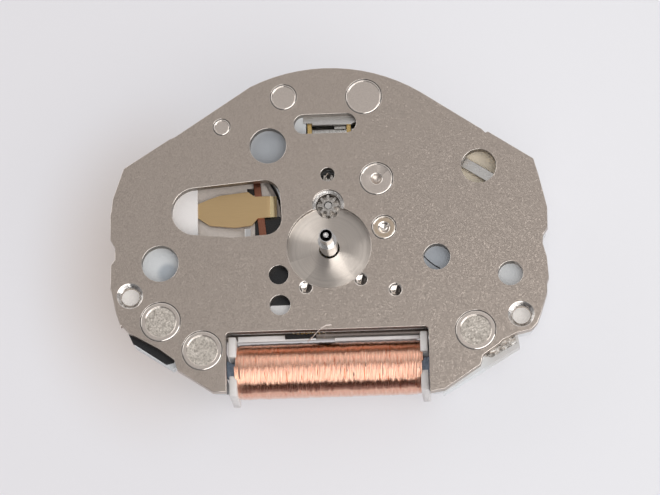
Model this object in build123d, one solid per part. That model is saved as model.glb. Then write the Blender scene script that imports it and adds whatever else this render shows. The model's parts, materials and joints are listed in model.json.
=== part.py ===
from build123d import *
import os
from math import cos, hypot, pi, radians, sin, sqrt

# A three-hand quartz watch movement, seen from its dial side.
# Millimetres. The dial seat, which is the top of the main plate, is z = 0, and +Z points to the dial.
# The hands' axis is x = y = 0. +X points to the stem, and the coil lies along the -Y edge.
# Levels are depths below the dial seat, so a level of 0.4 is z = -0.4.

# Main plate
plate_length = 17.8
plate_width = 13.8
plate_thickness = 0.40
half_length = plate_length / 2

# Overrun of every cut, and angles in degrees
overrun = 0.5
right_angle = 90
full_turn = 360

# Levels under the plate
web_level = 0.76
battery_web_level = 0.62
key_roof_level = 0.55
key_floor_level = 0.85
back_level = 3.00
sheet_thickness = 0.12
bridge_level = 2.15
bridge_thickness = 0.30

# Seat of the hour wheel
seat_radius = 1.72
seat_depth = 0.25
seat_hole_radius = 0.42

# Train. Each wheel's top level and thickness, and the counts of teeth
wheel_thickness = 0.10
seconds_level = 1.29
third_level = 1.05
centre_level = 0.82
fifth_level = 1.53
motion_level = 0.48
motion_thickness = 0.14
seconds_teeth = 60
seconds_leaves = 8
third_teeth = 60
third_leaves = 8
centre_teeth = 64
fifth_teeth = 48
fifth_leaves = 12
rotor_leaves = 8
cannon_teeth = 10
minute_teeth = 30
minute_leaves = 8
setting_teeth = 26
leaf_margin = 0.04

# Distances and directions between the arbors
third_distance = 1.926
third_direction = -119.9
fifth_distance = 1.904
fifth_direction = -47.8
rotor_distance = 1.470
rotor_direction = -19.1
minute_distance = 1.770
minute_direction = 90.0
setting_direction = -24.3

# Arbors and pivots
arbor_radius = 0.09
pivot_radius = 0.06
pivot_clearance = 0.04
pivot_length = 0.18
end_shake = 0.02
sink_radius = 0.27
sink_depth = 0.20

# Hand arbors
pipe_radius = 0.38
pipe_step_height = 0.92
hand_seat_radius = 0.29
hand_seat_taper = 0.01
pipe_height = 1.72
pipe_mouth_radius = 0.245
pipe_mouth_depth = 0.60
pipe_bore_radius = 0.14
pipe_bottom_level = 0.97
pipe_neck_level = 0.22
pipe_neck_taper = 0.02
seconds_arbor_radius = 0.11
seconds_arbor_height = 1.78
arbor_dimple_radius = 0.05

# Rotor, stator and coil
magnet_radius = 0.50
magnet_thickness = 0.34
magnet_gap = 0.10
stator_hole_radius = 0.62
stator_wall = 0.42
stator_thickness = 0.45
stator_notch_radius = 0.10
stator_notch_angle = 45
core_thickness = 0.35
core_width = 0.70
ear_radius = 0.62
winding_radius = 1.15
flange_thickness = 0.22
flange_radius = 1.22
flange_rise = 1.20
sleeve_thickness = 0.08
wire_radius = 0.09
wire_seat_gap = 0.01
wire_turns = 12
arcs_per_turn = 4
wire_margin = 0.18
gap_samples = 9
coil_bay_gap = 0.14
coil_bay_corner = 0.15
frame_bay_room = 0.08
core_room = 0.05

# Battery and its contacts
battery_thickness = 2.15
battery_level = 0.85
battery_gap = 0.10
battery_step = 0.20
battery_step_depth = 0.35
leaf_thickness = 0.10
leaf_length = 3.90
leaf_width = 1.50
strip_thickness = 0.08
strip_width = 0.30
lug_width = 0.26
lug_length = 0.75
lug_thickness = 0.14

# Window over the battery
window_length = 4.54
window_height = 2.38
window_corner = 0.68

# Keyless works
stem_level = 1.20
stem_bore_radius = 0.45
sliding_pinion_radius = 0.60
sliding_pinion_length = 1.00
sliding_pinion_x = 3.95
sliding_pinion_bore = 0.25
sliding_travel = 0.35
sliding_teeth = 12
sliding_tooth_depth = 0.14
groove_start = 0.45
groove_width = 0.26
groove_radius = 0.42
lever_level = 0.62
lever_thickness = 0.16
yoke_thickness = 0.12
lever_pin_radius = 0.20
lever_pin_clearance = 0.03
lever_width = 0.44
yoke_width = 0.40
yoke_tip_width = 0.12

# Posts, pillars and screws
pillar_radius = 0.83
pillar_rim = 0.20
pillar_dish = 0.05
pillar_shank_radius = 0.60
post_dish = 0.03
post_rim = 0.08
post_chamfer = 0.04
cover_post_radius = 0.75
clamp_post_radius = 0.55
pin_post_radius = 0.36
post_shank_radius = 0.45
bridge_post_radius = 0.69
bridge_post_sink = 0.24
setting_stud_radius = 0.51
setting_pin_radius = 0.28
setting_clearance = 0.03
screw_radius = 0.25
screw_head_radius = 0.44
screw_head_height = 0.15
screw_slot_width = 0.12
screw_slot_depth = 0.07
screw_grip = 0.60

# Holes of the main plate
foot_circle = 8.32
foot_left_angle = 192.4
foot_right_angle = -21.8
foot_radius = 0.365
foot_sink_radius = 0.53
foot_sink_depth = 0.15
foot_room = 0.20
foot_room_level = 0.90
minute_sink_radius = 0.65
minute_sink_depth = 0.12
minute_hole_radius = 0.50
slot_length = 2.56
slot_height = 0.82
lever_window_radius = 0.85
round_hole_radii = [0.75, 0.755, 0.545, 0.505, 0.40, 0.42, 0.29, 0.715]

# Plastic frame
frame_inset = 0.12
frame_lip_level = 0.90
frame_lean = 13
wheel_room = 0.12
bay_margin = 0.15
minute_post_radius = 0.14
minute_post_clearance = 0.03
minute_pinion_level = 0.06

# Circuit
board_level = 2.55
board_thickness = 0.14
chip_size = 1.50
chip_thickness = 0.22
chip_round = 0.07
crystal_radius = 0.52
crystal_length = 3.70
crystal_level = 1.25
crystal_gap = 0.08
cap_share = 0.14
clip_thickness = 0.12
lead_width = 0.18
lead_length = 0.85
lead_thickness = 0.06
lead_reach = 0.25

# Outlines, as shares of half the plate's length and of its whole width
top_arc_share = [(-0.351, 0.502), (0.022, 0.552), (0.433, 0.468)]
right_side_share = [
    (0.712, 0.345), (0.728, 0.334), (0.740, 0.337), (0.944, 0.249), (0.965, 0.199), (0.993, 0.120),
    (1.000, 0.099), (0.999, 0.038), (0.978, 0.017), (0.974, -0.010), (0.992, -0.053), (0.998, -0.114),
    (0.989, -0.131), (0.988, -0.160), (0.958, -0.220), (0.939, -0.251), (0.912, -0.270), (0.842, -0.280),
    (0.780, -0.299), (0.765, -0.309), (0.688, -0.343), (0.678, -0.370), (0.513, -0.440), (0.448, -0.447),
]
left_side_share = [
    (-0.481, -0.428), (-0.539, -0.427), (-0.699, -0.358), (-0.713, -0.327), (-0.781, -0.293),
    (-0.792, -0.289), (-0.919, -0.241), (-0.953, -0.217), (-0.956, -0.222), (-0.978, -0.180),
    (-0.997, -0.117), (-1.003, -0.107), (-1.000, -0.034), (-0.981, -0.017), (-0.981, 0.019),
    (-1.002, 0.044), (-1.002, 0.118), (-0.997, 0.133), (-0.991, 0.167), (-0.939, 0.262),
    (-0.729, 0.347), (-0.703, 0.354),
]
left_skirt_share = [
    (-0.895, -0.200), (-0.926, -0.238), (-0.893, -0.277), (-0.722, -0.350), (-0.640, -0.300),
]
right_skirt_share = [(0.840, -0.240), (0.856, -0.314), (0.502, -0.449), (0.502, -0.380)]
spacer_share = [
    (-0.924, -0.239), (-0.905, -0.267), (-0.752, -0.335), (-0.719, -0.330), (-0.663, -0.262),
    (-0.330, -0.185), (-0.270, -0.166), (-0.175, -0.166), (-0.175, -0.050), (-0.281, -0.045),
    (-0.405, -0.122), (-0.685, -0.138), (-0.831, -0.141), (-0.888, -0.188),
]
pad_share = [(0.822, -0.250), (0.842, -0.303), (0.729, -0.344), (0.697, -0.342), (0.700, -0.290)]
bridge_share = [
    (0.135, 0.236), (0.225, 0.262), (0.315, 0.236), (0.360, 0.060), (0.480, -0.100),
    (0.735, -0.225), (0.742, -0.300), (0.600, -0.322), (0.480, -0.239), (-0.492, -0.239),
    (-0.515, -0.345), (-0.660, -0.345), (-0.665, -0.260), (-0.360, -0.150), (-0.215, -0.030),
    (-0.135, 0.080), (0.075, 0.110),
]
stator_share = [
    (0.395, -0.105), (0.690, -0.236), (0.700, -0.290), (0.600, -0.300), (0.485, -0.234),
    (-0.497, -0.234), (-0.520, -0.310), (-0.640, -0.320), (-0.640, -0.275), (-0.470, -0.185),
    (0.200, -0.165),
]
key_pocket_share = [
    (0.445, -0.056), (0.920, -0.056), (0.920, 0.200), (0.720, 0.318), (0.530, 0.318), (0.500, 0.210),
    (0.445, 0.150),
]
clip_share = [
    (-0.112, 0.390), (-0.070, 0.390), (-0.070, 0.384), (0.107, 0.384), (0.146, 0.393), (0.146, 0.420),
    (0.095, 0.438), (-0.112, 0.438),
]
board_share = [
    (-0.110, 0.290), (0.420, 0.255), (0.870, 0.120), (0.925, 0.180), (0.890, 0.235), (0.660, 0.335),
    (0.380, 0.400), (-0.110, 0.400),
]
cover_share = [
    (-0.115, 0.245), (0.340, 0.245), (0.560, 0.060), (0.735, -0.060), (0.745, -0.145), (0.905, -0.145),
    (0.940, 0.100), (0.900, 0.235), (0.700, 0.330), (0.400, 0.455), (0.170, 0.520), (0.080, 0.500),
    (-0.010, 0.430), (-0.115, 0.430),
]
clamp_arm_share = [
    (-0.870, -0.200), (-0.820, -0.238), (-0.700, -0.250), (-0.660, -0.090), (-0.290, 0.250),
    (-0.130, 0.430), (-0.130, 0.500), (-0.260, 0.505), (-0.430, 0.410), (-0.545, 0.415),
    (-0.590, 0.330), (-0.830, 0.200),
]
window_share = [(-0.634, 0.807), (0.94, 1.05), (1.00, -0.91), (0.101, -1.00), (-0.643, -0.849)]
window_end_share = (-1.0, 0.03)
leaf_share = [
    (-0.90, 0.15), (-0.67, 0.15), (-0.66, 0.40), (-0.41, 0.66), (-0.19, 0.84), (0.40, 1.00),
    (0.54, 0.72), (1.00, 0.72), (1.00, -0.45), (0.60, -0.51), (0.48, -0.90), (0.11, -1.00),
    (-0.41, -0.84), (-0.60, -0.50), (-0.66, -0.38), (-0.67, -0.30), (-0.90, -0.30),
]
leaf_bend_share = 0.14
strip_place_share = 0.25

# Places, as shares of half the plate's length and of its whole width
coil_place_share = (-0.015169, -0.344928)
coil_bay_top_share = -0.25
battery_place_share = (-0.550562, 0.108696)
window_place_share = (-0.464045, 0.124638)
white_edge_share = -0.603371
leaf_place_share = (-0.460674, 0.135507)
lug_place_share = -0.374157
crystal_place_share = (0.117978, 0.373188)
lever_pivot_share = (0.792135, 0.148551)
lever_nose_share = (0.803371, 0.044928)
lever_elbow_share = (0.764045, 0.199275)
lever_tail_share = (0.595506, 0.270290)
yoke_pivot_share = (0.595506, 0.152174)
yoke_heel_share = (0.550562, 0.086957)
pillar_left_share = (-0.774, -0.211)
pillar_coil_share = (-0.585, -0.302)
pillar_right_share = (0.660, -0.267)
cover_post_share = (0.173, 0.459)
clamp_post_share = (-0.197, 0.466)
pin_post_share = (-0.484, 0.380)
bridge_post_share = (0.224, 0.204)
boss_share = (0.825, -0.099)
slot_share = (-0.008, 0.380)
chip_share = (0.4045, 0.3188)
lever_hole_share = (0.693, 0.232)
round_holes_share = [
    (-0.272, 0.317), (-0.774, -0.034), (0.492, -0.041), boss_share, (-0.231, -0.080), (-0.227, -0.172),
    (0.000, 0.222), lever_hole_share,
]
clip_leads_share = [(-0.083, 0.384), (0.098, 0.384)]

# The battery's radius as a share of the plate's width, and the winding's length as one of its length
battery_radius_share = 0.210145
winding_length_share = 0.421348

# Shape of a gear tooth, as shares of the module and of one tooth's angle
tip_share = 0.92
root_share = 1.15
tooth_root_share = 0.34
tooth_tip_share = 0.13
wheel_hole_share = 0.20
wheel_hole_ring_share = 0.58
wheel_hole_count = 5


def at(share):
    """A place on the plate from its shares."""
    return share[0] * half_length, share[1] * plate_width


def polar(start, distance, degrees):
    angle = radians(degrees)
    return start[0] + distance * cos(angle), start[1] + distance * sin(angle)


hands = (0, 0)
third_at = polar(hands, third_distance, third_direction)
fifth_at = polar(hands, fifth_distance, fifth_direction)
rotor_at = polar(fifth_at, rotor_distance, rotor_direction)
minute_at = polar(hands, minute_distance, minute_direction)
motion_module = 2 * minute_distance / (cannon_teeth + minute_teeth)
setting_at = polar(minute_at, motion_module * (minute_teeth + setting_teeth) / 2, setting_direction)
foot_left_at = polar(hands, foot_circle, foot_left_angle)
foot_right_at = polar(hands, foot_circle, foot_right_angle)
pillar_left_at = at(pillar_left_share)
pillar_coil_at = at(pillar_coil_share)
pillar_right_at = at(pillar_right_share)
cover_post_at = at(cover_post_share)
clamp_post_at = at(clamp_post_share)
pin_post_at = at(pin_post_share)
bridge_post_at = at(bridge_post_share)
boss_at = at(boss_share)
lever_pivot = at(lever_pivot_share)
lever_nose = at(lever_nose_share)
lever_elbow = at(lever_elbow_share)
lever_tail = at(lever_tail_share)
yoke_pivot = at(yoke_pivot_share)
yoke_heel = at(yoke_heel_share)
battery_at = at(battery_place_share)
coil_x, coil_y = at(coil_place_share)
window_x, window_y = at(window_place_share)
leaf_x, leaf_y = at(leaf_place_share)
crystal_x, crystal_y = at(crystal_place_share)
coil_bay_top = coil_bay_top_share * plate_width
white_edge_x = white_edge_share * half_length
lug_x = lug_place_share * half_length
battery_radius = battery_radius_share * plate_width
winding_length = winding_length_share * plate_length

inner_winding_radius = winding_radius - 2 * wire_radius - wire_seat_gap
stator_level = bridge_level - stator_thickness
core_level = stator_level - core_thickness
coil_z = -(core_level + core_thickness / 2)
magnet_level = fifth_level + wheel_thickness + magnet_gap


def disc(place, radius, top, bottom):
    """A round slab between two levels."""
    middle = -(top + bottom) / 2
    return Pos(place[0], place[1], middle) * Cylinder(radius, bottom - top)


def slab(sketch, top, bottom):
    """A flat piece of any outline between two levels."""
    return Pos(0, 0, -bottom) * extrude(sketch, bottom - top)


def polygon(shares):
    return make_face(Polyline(*[at(share) for share in shares], close=True))


def plate_outline(inset):
    """The plate's outline, or a smaller one inside it for what lies under the plate."""
    length = half_length - inset
    width = plate_width - 2 * inset
    arc = [(x * length, y * width) for x, y in top_arc_share]
    right = [(x * length, y * width) for x, y in right_side_share]
    left = [(x * length, y * width) for x, y in left_side_share]
    top = ThreePointArc(*arc)
    sides = Polyline(arc[2], *right, *left, arc[0])
    return make_face(top.edges() + sides.edges())


def coil_bay(gap):
    """The opening for the coil, from the plate's lower edge up."""
    length = winding_length + 2 * flange_thickness + 2 * coil_bay_gap - 2 * gap
    height = plate_width / 2 + coil_bay_top + gap
    bay = Rectangle(length, height)
    bay = fillet(bay.vertices().group_by(Axis.Y)[-1], coil_bay_corner)
    return Pos(coil_x, coil_bay_top - gap - height / 2) * bay


def window_sketch():
    """The long window over the battery, with one round end."""
    points = [
        (window_x + x * window_length / 2, window_y + y * window_height / 2) for x, y in window_share
    ]
    end_x, end_y = window_end_share
    end = (window_x + end_x * window_length / 2, window_y + end_y * window_height / 2)
    lines = Polyline(*points)
    cap = ThreePointArc(points[-1], end, points[0])
    window = make_face(lines.edges() + cap.edges())
    corners = window.vertices().sort_by(Axis.X)[-2:]
    return fillet(corners, window_corner)


# Gears


def gear_sketch(teeth, module, phase):
    """A wheel's outline with straight-sided teeth. One tooth points to the phase angle."""
    pitch_radius = module * teeth / 2
    tip = pitch_radius + tip_share * module
    root = pitch_radius - root_share * module
    step = 2 * pi / teeth
    points = []
    for tooth in range(teeth):
        middle = phase + tooth * step
        corners = [
            (root, -tooth_root_share), (tip, -tooth_tip_share),
            (tip, tooth_tip_share), (root, tooth_root_share),
        ]
        points += [(r * cos(middle + a * step), r * sin(middle + a * step)) for r, a in corners]
    return make_face(Polyline(*points, close=True))


def meshed_phase(direction, teeth, phase, other_teeth):
    """The phase of the other gear that puts its gaps on this gear's teeth."""
    angle = radians(direction)
    turned = teeth * (phase - angle) / (2 * pi) + 1 / 2
    return angle + pi - turned * 2 * pi / other_teeth


def wheel(place, teeth, module, phase, top, thickness, bore, holes=0):
    """A flat toothed wheel on its arbor, with round openings in its web."""
    sketch = gear_sketch(teeth, module, phase)
    rim = module * teeth / 2
    if holes:
        openings = PolarLocations(rim * wheel_hole_ring_share, holes) * Circle(rim * wheel_hole_share)
        sketch -= openings
    body = Pos(*place) * (sketch - Circle(bore))
    return slab(body, top, top + thickness)


def arbor_with_leaves(place, teeth, module, phase, top, bottom):
    """A thin steel arbor with its pinion, from the plate to the bridge."""
    upper = plate_thickness + end_shake
    lower = bridge_level - end_shake
    pinion = slab(Pos(*place) * gear_sketch(teeth, module, phase), top, bottom)
    shaft = disc(place, arbor_radius, upper, lower)
    pivots = disc(place, pivot_radius, upper - pivot_length, lower + pivot_length)
    return pinion + shaft + pivots


fifth_module = 2 * rotor_distance / (fifth_teeth + rotor_leaves)
seconds_module = 2 * fifth_distance / (seconds_teeth + fifth_leaves)
third_module = 2 * third_distance / (third_teeth + seconds_leaves)
centre_module = 2 * third_distance / (centre_teeth + third_leaves)

seconds_phase = radians(fifth_direction)
fifth_leaf_phase = meshed_phase(fifth_direction, seconds_teeth, seconds_phase, fifth_leaves)
fifth_phase = radians(rotor_direction)
rotor_phase = meshed_phase(rotor_direction, fifth_teeth, fifth_phase, rotor_leaves)
seconds_leaf_phase = radians(third_direction)
third_phase = meshed_phase(third_direction, seconds_leaves, seconds_leaf_phase, third_teeth)
centre_phase = radians(third_direction)
third_leaf_phase = meshed_phase(third_direction, centre_teeth, centre_phase, third_leaves)
cannon_phase = radians(minute_direction)
minute_phase = meshed_phase(minute_direction, cannon_teeth, cannon_phase, minute_teeth)
setting_phase = meshed_phase(setting_direction, minute_teeth, minute_phase, setting_teeth)


def rotor_magnet():
    return disc(rotor_at, magnet_radius, magnet_level, magnet_level + magnet_thickness) - disc(
        rotor_at, arbor_radius, magnet_level - overrun, magnet_level + magnet_thickness + overrun
    )


def rotor_pinion():
    top = fifth_level - leaf_margin
    bottom = fifth_level + wheel_thickness + leaf_margin
    return arbor_with_leaves(rotor_at, rotor_leaves, fifth_module, rotor_phase, top, bottom)


def fifth_wheel():
    return wheel(
        fifth_at, fifth_teeth, fifth_module, fifth_phase, fifth_level, wheel_thickness,
        arbor_radius, wheel_hole_count,
    )


def fifth_pinion():
    top = seconds_level - leaf_margin
    return arbor_with_leaves(fifth_at, fifth_leaves, seconds_module, fifth_leaf_phase, top, fifth_level)


def seconds_wheel():
    return wheel(
        hands, seconds_teeth, seconds_module, seconds_phase, seconds_level, wheel_thickness,
        seconds_arbor_radius, wheel_hole_count,
    )


def seconds_arbor():
    """The long arbor that carries the seconds hand, with its pinion and a dimple in its tip."""
    lower = bridge_level - end_shake
    top = third_level - leaf_margin
    bottom = third_level + wheel_thickness + leaf_margin
    leaves = slab(gear_sketch(seconds_leaves, third_module, seconds_leaf_phase), top, bottom)
    shaft = disc(hands, seconds_arbor_radius, -seconds_arbor_height, lower)
    pivot = disc(hands, pivot_radius, lower, lower + pivot_length)
    dimple = Pos(0, 0, seconds_arbor_height) * Sphere(arbor_dimple_radius)
    return leaves + shaft + pivot - dimple


def third_wheel():
    return wheel(
        third_at, third_teeth, third_module, third_phase, third_level, wheel_thickness,
        arbor_radius, wheel_hole_count,
    )


def third_pinion():
    top = centre_level - leaf_margin
    return arbor_with_leaves(third_at, third_leaves, centre_module, third_leaf_phase, top, third_level)


def centre_wheel():
    return wheel(
        hands, centre_teeth, centre_module, centre_phase, centre_level, wheel_thickness,
        pipe_radius, wheel_hole_count,
    )


def minute_pipe():
    """The stepped pipe for the minute hand, with the ten-leaf pinion that drives the minute wheel."""
    pipe = disc(hands, pipe_radius, -pipe_step_height, pipe_neck_level)
    neck_length = pipe_bottom_level - pipe_neck_level
    neck = Cone(pipe_radius - pipe_neck_taper, pipe_radius, neck_length)
    pipe += Pos(0, 0, -pipe_neck_level - neck_length / 2) * neck
    seat_length = pipe_height - pipe_step_height
    seat = Cone(hand_seat_radius, hand_seat_radius - hand_seat_taper, seat_length)
    pipe += Pos(0, 0, pipe_step_height + seat_length / 2) * seat
    leaves = gear_sketch(cannon_teeth, motion_module, cannon_phase)
    pipe += slab(leaves, motion_level, motion_level + motion_thickness)
    mouth = disc(hands, pipe_mouth_radius, -pipe_height - overrun, -pipe_height + pipe_mouth_depth)
    bore = disc(hands, pipe_bore_radius, -pipe_height - overrun, pipe_bottom_level + overrun)
    return pipe - mouth - bore


def minute_wheel():
    bore = minute_post_radius + minute_post_clearance
    return wheel(
        minute_at, minute_teeth, motion_module, minute_phase, motion_level, motion_thickness, bore
    )


def minute_pinion():
    """The leaves that show in the round sink above the hands and drive the hour wheel."""
    bore = minute_post_radius + minute_post_clearance
    leaves = Pos(*minute_at) * gear_sketch(minute_leaves, motion_module, cannon_phase)
    body = slab(leaves, minute_pinion_level, motion_level)
    return body - disc(minute_at, bore, -overrun, motion_level + overrun)


def setting_wheel():
    bore = setting_pin_radius + setting_clearance
    return wheel(
        setting_at, setting_teeth, motion_module, setting_phase, motion_level, motion_thickness, bore
    )


# Main plate and what is riveted in it


def oil_sink(place):
    radius = pivot_radius + pivot_clearance
    cone = Pos(place[0], place[1], -sink_depth / 2) * Cone(radius, sink_radius, sink_depth)
    return cone + disc(place, radius, 0, plate_thickness + overrun)


def foot_hole(place):
    middle = -foot_sink_depth / 2
    cone = Pos(place[0], place[1], middle) * Cone(foot_radius, foot_sink_radius, foot_sink_depth)
    return cone + disc(place, foot_radius, 0, plate_thickness + overrun)


def main_plate():
    plate = slab(plate_outline(0), 0, plate_thickness)
    plate -= slab(coil_bay(0), -overrun, plate_thickness + overrun)
    plate -= slab(window_sketch(), -overrun, plate_thickness + overrun)
    slot_x, slot_y = at(slot_share)
    slot = Pos(slot_x, slot_y) * SlotOverall(slot_length, slot_height)
    plate -= slab(slot, -overrun, plate_thickness + overrun)
    for share, radius in zip(round_holes_share, round_hole_radii):
        plate -= disc(at(share), radius, -overrun, plate_thickness + overrun)
    seats = [
        (pillar_left_at, pillar_radius), (pillar_coil_at, pillar_radius),
        (pillar_right_at, pillar_radius), (cover_post_at, cover_post_radius),
        (clamp_post_at, clamp_post_radius), (pin_post_at, pin_post_radius),
        (bridge_post_at, bridge_post_radius), (setting_at, setting_stud_radius),
    ]
    for place, radius in seats:
        plate -= disc(place, radius, -overrun, plate_thickness + overrun)
    plate -= disc(hands, seat_radius, -overrun, seat_depth)
    plate -= disc(hands, seat_hole_radius, -overrun, plate_thickness + overrun)
    plate -= disc(minute_at, minute_sink_radius, -overrun, minute_sink_depth)
    plate -= disc(minute_at, minute_hole_radius, -overrun, plate_thickness + overrun)
    for place in (third_at, fifth_at, rotor_at):
        plate -= oil_sink(place)
    for place in (foot_left_at, foot_right_at):
        plate -= foot_hole(place)
    return plate


def riveted_post(place, radius, shank, bottom, rim, dish, bore=True):
    """A round post whose head fills its hole in the plate, with a low rim on the dial side."""
    head = disc(place, radius, 0, plate_thickness)
    head = chamfer(head.edges().group_by(Axis.Z)[-1], post_chamfer)
    post = head + disc(place, shank, plate_thickness, bottom)
    if dish:
        post -= disc(place, radius - rim, -overrun, dish)
    if bore:
        post -= disc(place, screw_radius, bottom - screw_grip, bottom + overrun)
    return post


def screw_pillars():
    depths = [(pillar_left_at, back_level), (pillar_coil_at, core_level), (pillar_right_at, core_level)]
    return Compound(
        children=[
            riveted_post(place, pillar_radius, pillar_shank_radius, bottom, pillar_rim, pillar_dish)
            for place, bottom in depths
        ]
    )


def cover_post():
    return riveted_post(
        cover_post_at, cover_post_radius, post_shank_radius, back_level, post_rim, post_dish
    )


def clamp_post():
    return riveted_post(
        clamp_post_at, clamp_post_radius, post_shank_radius, back_level, post_rim, post_dish
    )


def locating_pin():
    return riveted_post(
        pin_post_at, pin_post_radius, pin_post_radius, back_level, post_rim, post_dish, False
    )


def stud_sink(place):
    """The conical dimple in the middle of a stud's head."""
    middle = -post_dish - bridge_post_sink / 2
    return Pos(place[0], place[1], middle) * Cone(0, bridge_post_sink, bridge_post_sink)


def bridge_post():
    post = riveted_post(
        bridge_post_at, bridge_post_radius, post_shank_radius, bridge_level, post_rim, post_dish
    )
    return post - stud_sink(bridge_post_at)


def setting_stud():
    """The stud that the setting wheel turns on."""
    bottom = motion_level + motion_thickness + leaf_margin
    stud = riveted_post(
        setting_at, setting_stud_radius, setting_pin_radius, bottom, post_rim, post_dish, False
    )
    return stud - stud_sink(setting_at)


# Plastic pieces


def works_bay():
    """The space of the train, stator and bridge, open at the back."""
    bay = offset(polygon(bridge_share), bay_margin)
    room = [
        (hands, centre_module * centre_teeth / 2), (third_at, third_module * third_teeth / 2),
        (fifth_at, fifth_module * fifth_teeth / 2), (rotor_at, stator_hole_radius + stator_wall),
    ]
    space = slab(bay, web_level, back_level + overrun)
    for place, radius in room:
        space += disc(place, radius + wheel_room, web_level, back_level + overrun)
    return space


def motion_pocket():
    """The shallow pocket of the minute wheel and the setting wheel."""
    bottom = motion_level + motion_thickness + leaf_margin
    minute_room = motion_module * minute_teeth / 2 + 2 * wheel_room
    setting_room = motion_module * setting_teeth / 2 + 2 * wheel_room
    cannon_room = motion_module * cannon_teeth / 2 + 2 * wheel_room
    pocket = disc(minute_at, minute_room, plate_thickness - overrun, bottom)
    pocket += disc(setting_at, setting_room, plate_thickness - overrun, bottom)
    pocket += disc(hands, cannon_room, plate_thickness - overrun, web_level + overrun)
    return pocket


def key_pocket():
    """The pocket of the levers and of the sliding pinion, and the bore for the stem."""
    pocket = slab(polygon(key_pocket_share), key_roof_level, key_floor_level)
    pinion_room = sliding_pinion_radius + wheel_room
    length = sliding_pinion_length + sliding_travel + 2 * wheel_room
    start = sliding_pinion_x - sliding_travel - wheel_room
    height = 2 * pinion_room - wheel_room
    pocket += Pos(start + length / 2, 0, -stem_level) * Box(length, 2 * pinion_room, height)
    bore_length = half_length + overrun - sliding_pinion_x
    bore = Pos(sliding_pinion_x + bore_length / 2, 0, -stem_level) * Rot(0, right_angle, 0) * Cylinder(
        stem_bore_radius, bore_length
    )
    top = plate_thickness - overrun
    return pocket + bore + disc(at(lever_hole_share), lever_window_radius, top, key_floor_level)


def battery_bay():
    """The round space of the battery, with the opening in its roof under the plate's window."""
    top = plate_thickness - overrun
    radius = battery_radius + battery_gap
    length = window_x + window_length / 2 + overrun - white_edge_x
    window = Pos(white_edge_x + length / 2, window_y) * Rectangle(length, window_height + overrun)
    bay = disc(battery_at, radius, battery_web_level, back_level + overrun)
    opening = slab(window, top, battery_web_level + overrun) & disc(battery_at, radius, top, back_level)
    return bay + opening


def crystal_pocket():
    length = crystal_length + 2 * crystal_gap
    width = 2 * (crystal_radius + crystal_gap)
    bottom = crystal_level + crystal_radius
    return Pos(crystal_x, crystal_y, -(plate_thickness - overrun + bottom) / 2) * Box(
        length, width, bottom - plate_thickness + overrun
    )


def leaning_body():
    """The frame's outer form. Below a short upright lip, its coil side leans back under the plate."""
    outline = plate_outline(frame_inset)
    lean = radians(frame_lean)
    depth = back_level - frame_lip_level
    slant = extrude(outline, depth / cos(lean), dir=(0, sin(lean), -cos(lean)))
    body = slab(outline, frame_lip_level, back_level) & (Pos(0, 0, -frame_lip_level) * slant)
    return body + slab(outline, plate_thickness, frame_lip_level)


def plastic_frame():
    """The moulded body under the plate that holds the battery, train, levers and circuit."""
    frame = leaning_body()
    frame += slab(polygon(left_skirt_share), plate_thickness, frame_lip_level)
    frame += slab(polygon(right_skirt_share), plate_thickness, frame_lip_level)
    frame -= slab(coil_bay(-frame_bay_room), plate_thickness - overrun, back_level + overrun)
    frame -= slab(offset(core_sketch(), core_room), core_level - core_room, back_level + overrun)
    frame -= slab(polygon(clip_share), plate_thickness - overrun, plate_thickness + clip_thickness)
    frame -= works_bay()
    frame -= motion_pocket()
    frame -= key_pocket()
    frame -= battery_bay()
    frame -= crystal_pocket()
    frame -= slab(polygon(spacer_share), plate_thickness - overrun, battery_web_level)
    frame -= slab(polygon(pad_share), plate_thickness - overrun, key_roof_level)
    board_room = slab(offset(polygon(board_share), bay_margin), board_level, back_level + overrun)
    frame -= board_room
    pivots = [
        (pillar_left_at, pillar_shank_radius), (pillar_coil_at, pillar_shank_radius),
        (pillar_right_at, pillar_shank_radius), (cover_post_at, post_shank_radius),
        (clamp_post_at, post_shank_radius), (pin_post_at, pin_post_radius),
        (bridge_post_at, post_shank_radius),
    ]
    for place, radius in pivots:
        frame -= disc(place, radius, plate_thickness - overrun, back_level + overrun)
    top = plate_thickness - overrun
    for place in (foot_left_at, foot_right_at):
        frame -= disc(place, foot_radius + foot_room, top, foot_room_level)
    for place in (third_at, fifth_at, rotor_at):
        frame -= disc(place, arbor_radius + wheel_room, top, web_level + overrun)
    for place in (lever_pivot, yoke_pivot):
        frame -= disc(place, lever_pin_radius, top, key_floor_level)
    frame -= disc(boss_at, screw_radius, back_level - screw_grip, back_level + overrun)
    post = disc(minute_at, minute_post_radius, minute_pinion_level + leaf_margin, web_level)
    return frame + post


def black_spacer():
    """The thin black piece that shows in two round holes and past the lower left edge."""
    spacer = slab(polygon(spacer_share), plate_thickness, battery_web_level)
    return spacer - disc(pillar_left_at, pillar_shank_radius, 0, back_level)


def solder_pad():
    """The rough metal pad that shows past the lower right edge."""
    pad = slab(polygon(pad_share), plate_thickness, key_roof_level)
    return pad - disc(pillar_right_at, pillar_shank_radius, 0, back_level)


# Battery


def battery():
    """A flat round cell, with its smaller negative cap towards the plate."""
    bottom = battery_level + battery_thickness
    cell = disc(battery_at, battery_radius, battery_level + battery_step_depth, bottom)
    cell = fillet(cell.edges().group_by(Axis.Z)[0], battery_step / 2)
    cap_bottom = battery_level + battery_step_depth
    return cell + disc(battery_at, battery_radius - battery_step, battery_level, cap_bottom)


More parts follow.
